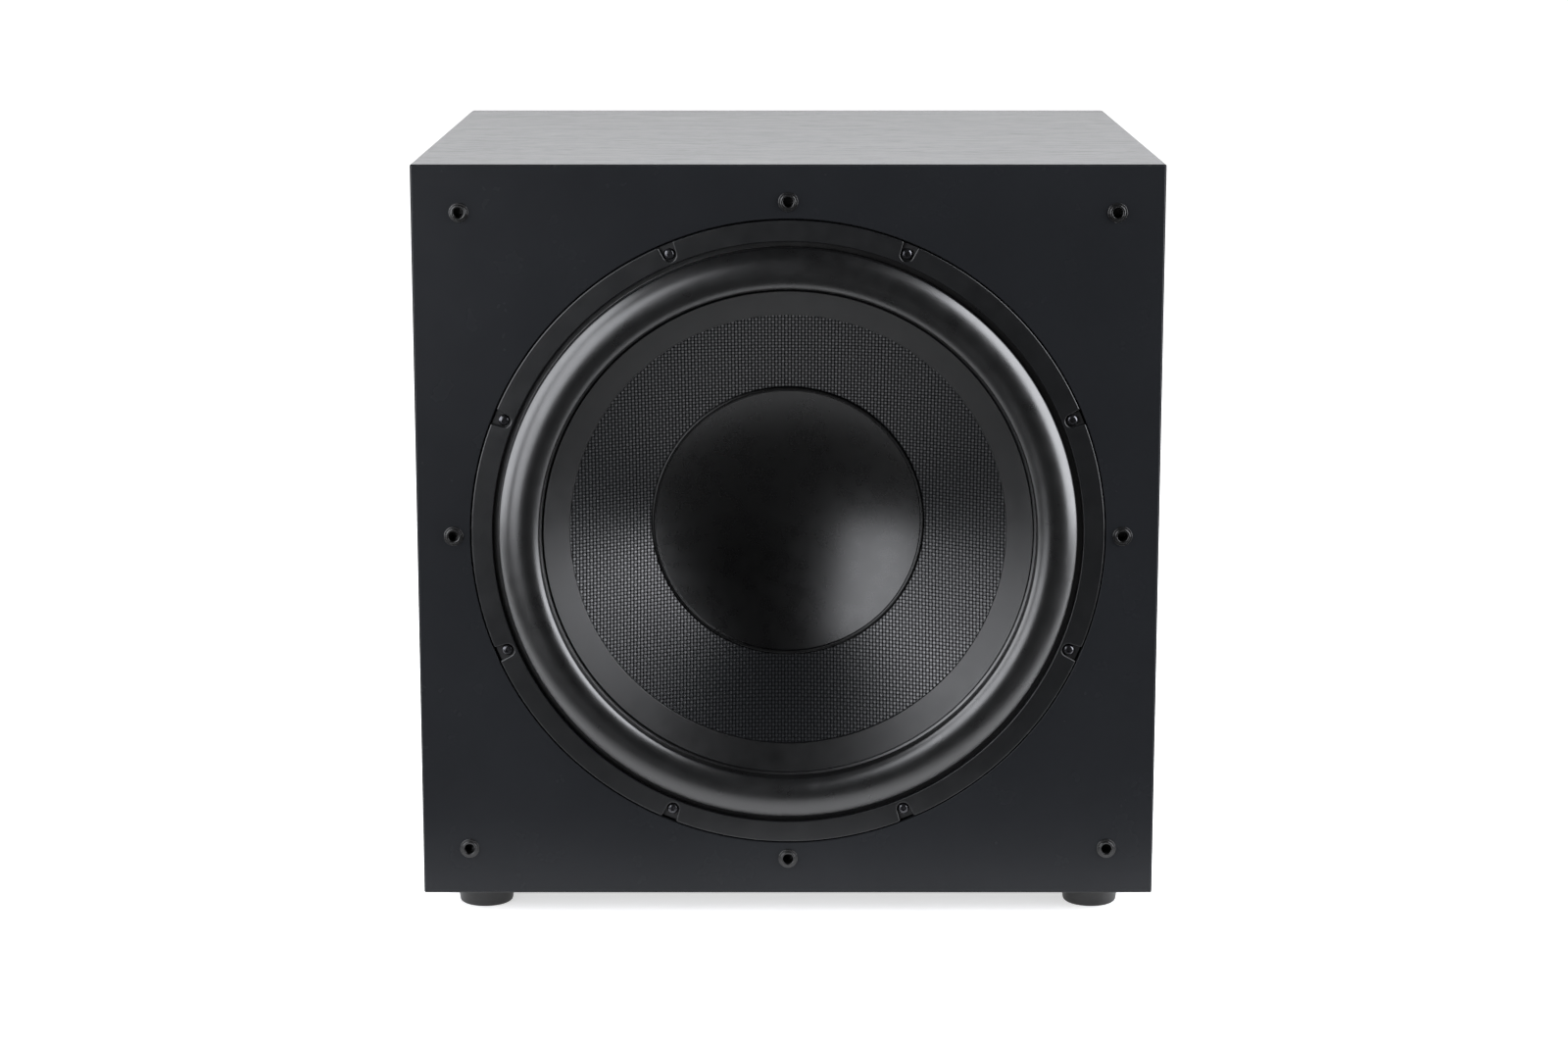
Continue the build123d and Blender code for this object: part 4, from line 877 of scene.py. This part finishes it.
band_in, band_out, band_rise = 134.5, 150.4, 1.9
band = section(
    "edge_band",
    [
        (band_in, cone_face(band_in), 0.05),
        (band_in + 0.2, cone_face(band_in) - band_rise, 0.7),
        (band_out, cone_face(band_out) - band_rise, 0.5),
        (band_out, cone_face(band_out) - 0.9, 0.1),
        (roll_foot, cone_face(roll_foot) - 0.8, 0.05),
        (roll_foot, cone_face(roll_foot), 0.05),
    ],
)
stand_in("edge_band", band, "cone_edge_ring")

former_radius = 38.5
shell = section(
    "cone_shell",
    [
        (former_radius, 73.5, 0.1),
        (former_radius + 1.1, 73.5, 0.5),
        (former_radius + 3.0, cone_face(former_radius + 3.0), 1.0),
        (cone_edge, cone_face(cone_edge), 0.2),
        (cone_edge, cone_face(cone_edge) + cone_wall, 0.2),
        (former_radius + 4.0, cone_face(former_radius + 4.0) + cone_wall, 2.0),
        (former_radius + 1.7, 81.0, 0.4),
        (former_radius, 81.0, 0.1),
    ],
)
stand_in("cone_shell", shell, "cone")

dish_radius, dish_sag, dish_wall = cap_radius - 1.4, 20.0, 1.1
dish_rim = cone_face(dish_radius) - 1.1
dish_sphere = (dish_radius ** 2 + dish_sag ** 2) / (2 * dish_sag)


def dish_face(radius):
    """Depth of the dust cap's front face at a radius."""
    return dish_rim + dish_sag - dish_sphere + math.sqrt(dish_sphere ** 2 - radius ** 2)


dish_steps = 28
dish_radii = [dish_radius * i / dish_steps for i in range(dish_steps)]
dish_front = [(radius, dish_face(radius), 0) for radius in dish_radii]
dish_back = [(x, depth + dish_wall, 0) for x, depth, _ in reversed(dish_front)]
bead = [
    (dish_radius, dish_rim, 0.5),
    (cap_radius - 0.9, dish_rim - 1.2, 0.6),
    (cap_radius + 0.5, dish_rim - 1.5, 0.7),
    (cap_radius + 1.5, cone_face(cap_radius + 1.5) + 0.1, 0.1),
    (dish_radius - 0.2, dish_face(dish_radius - 0.2) + dish_wall, 0.1),
]
cap = section("inverted_cap", dish_front + bead + dish_back, radius=0, angle=45)
stand_in("inverted_cap", cap, "dust_cap")

spider_seat, spider_wall, spider_rim = 101.5, 0.7, 90.0
wave_start, wave_half, wave_count, wave_height = 43.0, 4.0, 9, 1.9
wave_end = wave_start + wave_half * wave_count


def wave(radius):
    """Height of the spider's corrugations at a radius."""
    along = (radius - wave_start) / wave_half
    return wave_height * math.sin(math.pi * along) if 0 < along < wave_count else 0.0


spider_face = spider_seat - spider_wall
wave_steps = 90
stations = [wave_start + (wave_end - wave_start) * i / wave_steps for i in range(wave_steps + 1)]
cloth = [(former_radius, spider_face - 1.6, 0.1), (former_radius + 1.2, spider_face - 0.2, 0.5)]
cloth += [(r, spider_face - wave(r), 0) for r in stations]
cloth += [(spider_rim, spider_face, 0.1), (spider_rim, spider_seat, 0.1)]
cloth += [(r, spider_seat - wave(r), 0) for r in reversed(stations)]
cloth += [(former_radius + 1.2, spider_seat + 0.2, 0.5), (former_radius, spider_seat + 1.2, 0.1)]
spider = section("corrugated_spider", cloth, steps=160, radius=0, angle=60)
stand_in("corrugated_spider", spider, "spider", bends=(wave_end, wave_start))


def by_terminals(radius, depth, side):
    """A point in millimetres at a radius and depth on the terminals' line, moved sideways."""
    angle = math.radians(-45)
    return Vector((
        radius * math.cos(angle) - side * math.sin(angle),
        front_y / MM + depth,
        axis_z / MM + radius * math.sin(angle) + side * math.cos(angle),
    ))


leads = []
for side in (-7, 7):
    route = [(98.5, 96), (98.5, 91), (98.5, 86), (89, 84), (78, 82), (68, 84), (58, 87), (48, 87), (38.6, 87)]
    leads.append(tube_mesh("lead", [by_terminals(radius, depth, side) for radius, depth in route], 0.9))
stand_in("braided_leads", leads, "tinsel_leads", bends=(96.0, 40.0))

# ---------------------------------------------------------------- rear panel, seen from behind
plate_w, plate_h = (plate_high.x - plate_low.x) / MM, (plate_high.z - plate_low.z) / MM
edge_x, edge_y = plate_w / 2 - 7, plate_h / 2 - 7
amp_screw_spots = [(x, y) for x in (-edge_x, edge_x) for y in (-edge_y, 0, edge_y)]
amp_screw_spots += [(x, y) for x in (-40, 40) for y in (-edge_y, edge_y)]
control_row, socket_row, mains_row = 104, 50, -104
level_spot, crossover_spot, mode_spot, phase_spot = [(x, control_row) for x in (-66, -8, 44, 84)]
jack_spots = [(x, socket_row) for x in (-86, -62, -22, 2)]
trigger_spot, lens_spot = (44, socket_row), (84, socket_row)
rocker_spot, inlet_spot = (-34, mains_row), (46, mains_row)

plate_outlines = [rectangle(plate_w, plate_h, radius=6)]
plate_outlines += [circle(2.2, x, y, 24) for x, y in amp_screw_spots]
plate_outlines += [circle(4.6, *spot, 32) for spot in (level_spot, crossover_spot)]
plate_outlines += [rectangle(10.6, 4.6, *spot, radius=0.4) for spot in (mode_spot, phase_spot)]
plate_outlines += [circle(5.5, *spot, 32) for spot in jack_spots]
plate_outlines += [circle(3.1, *trigger_spot, 32), circle(1.6, *lens_spot, 24)]
plate_outlines += [rectangle(28.4, 36.4, *inlet_spot), rectangle(13.2, 19.2, *rocker_spot)]
plate = plate_mesh("control_plate", plate_outlines, FACING_BACK, 0, -3, edge=0.4, edge_steps=3)
stand_in("control_plate", plate, "amp_plate")

cross_profile = [
    (0, -2.3), (1.8, -2.25, 0.4), (3.3, -1.3, 0.8), (3.8, 0, 0.15), (2.0, 0, 0.1), (2.0, 17, 0.4), (0, 17),
]
cross_head = section("cross_head", cross_profile, FLAT, 48)
bar, nook, tip = 0.45, 0.6, 2.1  # a cross's half width, where its corners are rounded, and its reach
cross = [(tip, -bar), (tip, bar), (nook, bar, 0.15), (bar, nook, 0.15)]
for _ in range(3):
    cross += [(-y, x, *r) for x, y, *r in cross[-4:]]
cross_cut = plate_mesh("cross", [soften(cross, 0.1, 2)], FLAT, 0.9, 3.0, edge=0.02, edge_steps=0)
screw = cut(cross_head, cross_cut)
screws = copies("plate_screws", screw, [placed(FACING_BACK, x, y) for x, y in amp_screw_spots])
stand_in("plate_screws", screws, "amp_screws")


def fluted(radius, depth, flutes=20, steps=240):
    """A round outline with shallow finger grooves."""
    outline = []
    for step in range(steps):
        angle = 2 * math.pi * step / steps
        groove = max(0.0, math.cos(flutes * angle + math.pi)) ** 3
        reach = radius - depth * groove
        outline.append((reach * math.cos(angle), reach * math.sin(angle)))
    return outline


def control_knob(name, spot):
    """A fluted knob with a skirt, a dished end and a pointer line."""
    place = placed(FACING_BACK, *spot)
    layers = [(circle(8.3, steps=240), 5.8), (circle(8.3, steps=240), 1.0), (circle(8.5, steps=240), 0.8)]
    for radius, depth, out in (
        (10.9, 0, 0.8), (11.1, 0, 1.0), (11.1, 0, 2.4), (10.9, 0, 2.7), (10.75, 0.55, 3.2), (10.6, 0.6, 8.0),
        (10.45, 0.55, 12.8), (10.2, 0.4, 13.5), (9.8, 0.15, 13.9), (9.4, 0, 14.0), (9.0, 0, 13.9),
        (8.4, 0, 13.6),
    ):
        layers.append((fluted(radius, depth), out))
    body = loft_mesh(name, layers, place)
    line = plate_mesh("line", [rectangle(1.1, 6.2, 0, 5.2, radius=0.4)], place, 13.5, 13.72, edge=0.08)
    return body, line


INK, INK_EDGE = 0.06, 0.02  # mm that printing stands out, and its rounded edge

for control, spot in (("level", level_spot), ("crossover", crossover_spot)):
    body, line = control_knob(control + "_dial", spot)
    stand_in(control + "_dial", body, control + "_knob")
    add(control + "_pointer", line, "lever_plastic", control + "_control", finish="printed_ink")

    turns = [Matrix.Rotation(math.radians(30 * k - 150), 4, "Z") for k in range(11)]
    tick_places = [placed(FACING_BACK, *spot) @ turn for turn in turns]
    tick = plate_mesh("tick", [rectangle(0.5, 2.2, 0, 14.6)], FLAT, 0, INK, edge=INK_EDGE)
    ticks = copies(control + "_scale", tick, tick_places)
    add(control + "_scale", ticks, "amp_enamel", finish="printed_ink")


def printed_frame(name, width, height, x, y):
    """A thin printed outline round a group of sockets."""
    outlines = [rectangle(width, height, x, y, 3), rectangle(width - 0.9, height - 0.9, x, y, 2.6)]
    mesh = plate_mesh(name, outlines, FACING_BACK, 0, INK, edge=INK_EDGE)
    add(name, mesh, "amp_enamel", finish="printed_ink")


printed_frame("input_frame", 48, 26, -74, socket_row)
printed_frame("output_frame", 48, 26, -10, socket_row)
printed_frame("mode_frame", 26, 14, *mode_spot)
printed_frame("phase_frame", 26, 14, *phase_spot)

bush_profile = [
    (3.05, 11.0), (8.0, 12.0, 0.3), (8.0, 3.0, 0.2), (4.5, 3.0, 0.1), (4.5, -4.6, 0.2), (4.2, -5.0, 0.2),
    (3.05, -5.0, 0.2),
]

bushes = []
for spot in (level_spot, crossover_spot):
    place = placed(FACING_BACK, *spot)
    bushes.append(section("bush", bush_profile, place, 64, 0.0))
    bushes += plates(
        place,
        ("nut", [polygon(6, 6.4), circle(4.5, steps=32)], 0, 2.2, 0.25),
        ("case", [rectangle(17, 17, radius=1.5)], -3, -12, 0.4),
    )
stand_in("bushed_pots", bushes, "pot_bodies")

collar_profile = [
    (4.15, -1.0, 0.2), (4.5, -1.6, 0.3), (6.3, -1.6, 0.4), (6.8, -1.2, 0.3), (6.8, 0, 0.1), (5.4, 0, 0.1),
    (5.4, 3.0, 0.1), (6.0, 12.0, 0.2), (4.15, 12.0, 0.2),
]
barrel_profile = [
    (3.45, 8.0), (3.45, -9.6, 0.3), (3.6, -10.0, 0.2), (4.05, -10.0, 0.25), (4.15, -9.5, 0.2), (4.15, 8.0),
]
core_profile = [
    (1.65, 6.0), (1.65, -8.8, 0.1), (2.0, -9.2, 0.2), (3.2, -9.2, 0.3), (3.45, -8.9, 0.1), (3.45, 8.0),
    (1.65, 8.0),
]
jack_frames = [placed(FACING_BACK, *spot) for spot in jack_spots]
collars = copies("socket_collars", section("collar", collar_profile, FLAT, 64, 0.0), jack_frames)
stand_in("socket_collars", collars, "jack_insulators")
for name, places, slot in (
    ("left_cores", jack_frames[0::2], "lever_plastic"),
    ("right_cores", jack_frames[1::2], "wire_jacket"),
):
    add(name, copies(name, section("core", core_profile, FLAT, 48, 0.0), places), slot)
barrels = copies("socket_barrels", section("barrel", barrel_profile, FLAT, 64, 0.0), jack_frames)
stand_in("socket_barrels", barrels, "jack_barrels")

trigger_place = placed(FACING_BACK, *trigger_spot)
trigger_profile = [(1.8, 9.6), (1.8, -3.2, 0.2), (2.1, -3.4, 0.1), (2.8, -3.4, 0.3), (3.0, -3.0), (3.0, 9.6)]
trigger = plates(
    trigger_place,
    ("nut", [polygon(6, 4.2), circle(3.0, steps=24)], 0, 1.6, 0.2),
    ("case", [rectangle(9, 9, radius=0.5), circle(1.8, steps=24)], -3, -12, 0.3),
)
trigger.append(section("trigger", trigger_profile, trigger_place, 48, 0.0))
stand_in("trigger_socket", trigger, "trigger_jack")

lens_profile = [(0, -0.9), (0.8, -0.8, 0.4), (1.45, -0.2, 0.4), (1.5, 0.5), (1.5, 12), (0, 12)]
light = section("status_light", lens_profile, placed(FACING_BACK, *lens_spot), 32, 0.0)
stand_in("status_light", light, "status_lens")

for control, (x, y) in (("mode", mode_spot), ("phase", phase_spot)):
    lever = plates(
        placed(FACING_BACK, x - 3, y),
        ("stem", [rectangle(3.6, 3.6, radius=0.5)], -6.2, 3.4, 0.45, 3),
        ("shoe", [rectangle(8.4, 4.6, radius=0.3)], -9, -6, 0.2),
        *(("rib", [rectangle(0.5, 3.0, at, 0)], 3.2, 3.65, 0.12) for at in (-0.95, 0, 0.95)),
    )
    stand_in(control + "_slider", lever, control + "_lever")

inlet = placed(FACING_BACK, *inlet_spot)
well_corners = [(-12.3, -0.8), (12.3, -0.8), (12.3, 10.3), (6.8, 15.8), (-6.8, 15.8), (-12.3, 10.3)]
well = soften(well_corners, 0.8, 3)
drawer_hole = rectangle(22.4, 9.4, 0, -10.5, 0.3)
inlet_body = plates(
    inlet,
    ("flange", [rectangle(34, 42, radius=3), well, drawer_hole], 0, 2.5, 0.5, 3),
    ("walls", [rectangle(28, 36, radius=0.6), well, drawer_hole], 0.6, -13.5, 0.1),
    ("floor", [rectangle(28, 36, radius=0.6)], -13.3, -22, 0.3),
)
stand_in("mains_socket", inlet_body, "mains_inlet")
blade = plate_mesh("blade", [rectangle(2, 4, radius=0.3)], FLAT, -3.6, -22.5, edge=0.5, edge_steps=3)
blades = copies("mains_blades", blade, [placed(inlet, x, y) for x, y in ((-7, 5.5), (0, 9.5), (7, 5.5))])
stand_in("mains_blades", blades, "inlet_pins")
drawer = plates(
    inlet,
    ("front", [rectangle(21.8, 8.8, 0, -10.5, 0.6)], 2.9, 1.2, 0.3, 3),
    ("box", [rectangle(21.4, 8.4, 0, -10.5, 0.3)], 1.3, -13.0, 0.1),
    ("grip", [rectangle(7.0, 1.2, 0, -8.0, 0.3)], 2.7, 3.5, 0.25),
)
stand_in("fuse_tray", drawer, "fuse_drawer")

rocker_base = placed(FACING_BACK, *rocker_spot)
opening = rectangle(11.7, 17.7, radius=0.3)
bezel = plates(
    rocker_base,
    ("rim", [rectangle(17, 23, radius=1.5), opening], 0, 1.8, 0.5, 3),
    ("box", [rectangle(13, 19), opening], 0.6, -10.4, 0.1),
    ("back", [rectangle(13, 19)], -10.2, -20, 0.2),
    *(("tag", [rectangle(6.3, 0.8, 0, at, 0.1)], -20, -28, 0.1) for at in (-6, 6)),
)
stand_in("switch_bezel", bezel, "rocker_frame")


def rocker_mesh():
    """The rocker: two shallow slopes meeting in a valley, round-ended about its pivot."""
    reach, tilt, steps = 8.5, math.radians(9), 12
    heights = [reach * 0.9 * k / steps for k in range(-steps, steps + 1)]
    faces_out = [(3.7 - 1.45 * (1 - abs(y) / 8) ** 1.3, y) for y in heights]
    ends = arc(0, 0, reach, 68, 116, 8)
    side = [(out, up, 0) for out, up in faces_out]
    side += [(out, up, 0) for out, up in ends] + [(out, -up, 0) for out, up in reversed(ends)]
    # The sketch plane here holds the outward direction as x and up as y, extruded across the panel.
    upright = rocker_base @ Matrix(((0, 0, 1, 0), (0, 1, 0, 0), (1, 0, 0, 0), (0, 0, 0, 1)))
    leaning = upright @ Matrix.Rotation(tilt, 4, "Z")
    return plate_mesh("rocker", [soften(side)], leaning, -5.5, 5.5, edge=0.35, edge_steps=3)


stand_in("power_paddle", rocker_mesh(), "power_rocker")

# ---------------------------------------------------------------- stage, camera and lights
SHEET_END_Y, SHEET_START_Y = -0.42, -0.27
ROOM_FLOOR = 0.05  # how much light the floor past the sheet's end sends back, beside the sheet


def studio_paper():
    """A pale floor: a sheet of it lights the object and ends just in front; past that the studio is dark."""
    finish = Finish("studio_paper", 0.9, Specular_IOR_Level=0.0)
    where = finish.position()
    away = finish.node("VectorMath", ((0, where),), operation="LENGTH")
    seen = finish.node("LightPath").outputs["Is Camera Ray"]
    sheet = finish.spread(finish.axes(where)["Y"], SHEET_END_Y, SHEET_START_Y, ROOM_FLOOR, 1.0)
    white = finish.math("MAXIMUM", sheet, seen)
    fibres = finish.uneven(where, 40, 0.76, 0.8)
    finish.colours(finish.math("MULTIPLY", white, fibres), (0.0, grey(0.0)), (1.0, grey(1.0)))
    glow = finish.spread(away.outputs["Value"], 0.5, 2.5, 0.6, 1.0)
    finish.shader.inputs["Emission Color"].default_value = (1, 1, 1, 1)
    finish.feed(finish.shader.inputs["Emission Strength"], finish.math("MULTIPLY", white, glow))
    return finish


floor_mesh = bpy.data.meshes.new("floor")
floor_size = 80
floor_corners = [(x, y, 0) for x, y in rectangle(floor_size, floor_size)]
floor_mesh.from_pydata(floor_corners, [], [(0, 1, 2, 3)])
floor_mesh.materials.append(studio_paper().material)
new_piece("floor", floor_mesh)

# The room is white to look at. As light, it is a bright wall behind the object and dark on the near side.
world = bpy.data.worlds.new("studio")
scene.world = world
world.use_nodes = True
sky = Nodes(world.node_tree)
direction = sky.axes(sky.node("TexCoord").outputs["Generated"])
behind = sky.spread(direction["Y"], 0.0, 0.8, 0.008, 1.2)
seen_or_lit = sky.math("MAXIMUM", behind, sky.node("LightPath").outputs["Is Camera Ray"])
background = sky.tree.nodes["Background"]
sky.feed(background.inputs["Strength"], seen_or_lit)
background.inputs["Color"].default_value = (1, 1, 1, 1)

SOFT_BOX_COLOUR = (0.94, 0.955, 1.0)


def soft_box(name, azimuth, elevation, distance, width, height, power, target=driver_centre):
    """A large area light; azimuth 0 is straight in front, 90 to the right."""
    lamp = bpy.data.lights.new(name, "AREA")
    lamp.shape = "RECTANGLE"
    lamp.size, lamp.size_y = width, height
    lamp.energy = power
    lamp.color = SOFT_BOX_COLOUR
    holder = bpy.data.objects.new(name, lamp)
    scene.collection.objects.link(holder)
    turn, rise = math.radians(azimuth), math.radians(elevation)
    way = Vector((math.sin(turn) * math.cos(rise), -math.cos(turn) * math.cos(rise), math.sin(rise)))
    holder.location = target + way * distance
    holder.rotation_euler = (-way).to_track_quat("-Z", "Y").to_euler()
    return holder


soft_box("left_front_box", -36, 13, 1.5, 0.8, 1.2, 20)
soft_box("left_side_box", -84, 21, 1.13, 0.95, 1.2, 25)
soft_box("right_box", 82, 21, 1.13, 1.05, 1.3, 44)
soft_box("over_box", 180, 62, 2.4, 3.0, 2.0, 60, Vector((0, 0.4, 0)))

lens = bpy.data.cameras.new("camera")
lens.sensor_width = 36
lens.lens = 79.9
camera = bpy.data.objects.new("camera", lens)
scene.collection.objects.link(camera)
camera.location = (-0.0025, front_y - 2.092, 0.660)
camera.rotation_euler = (math.radians(90 - 11.07), 0, 0)
scene.camera = camera
scene.view_settings.view_transform = "Standard"
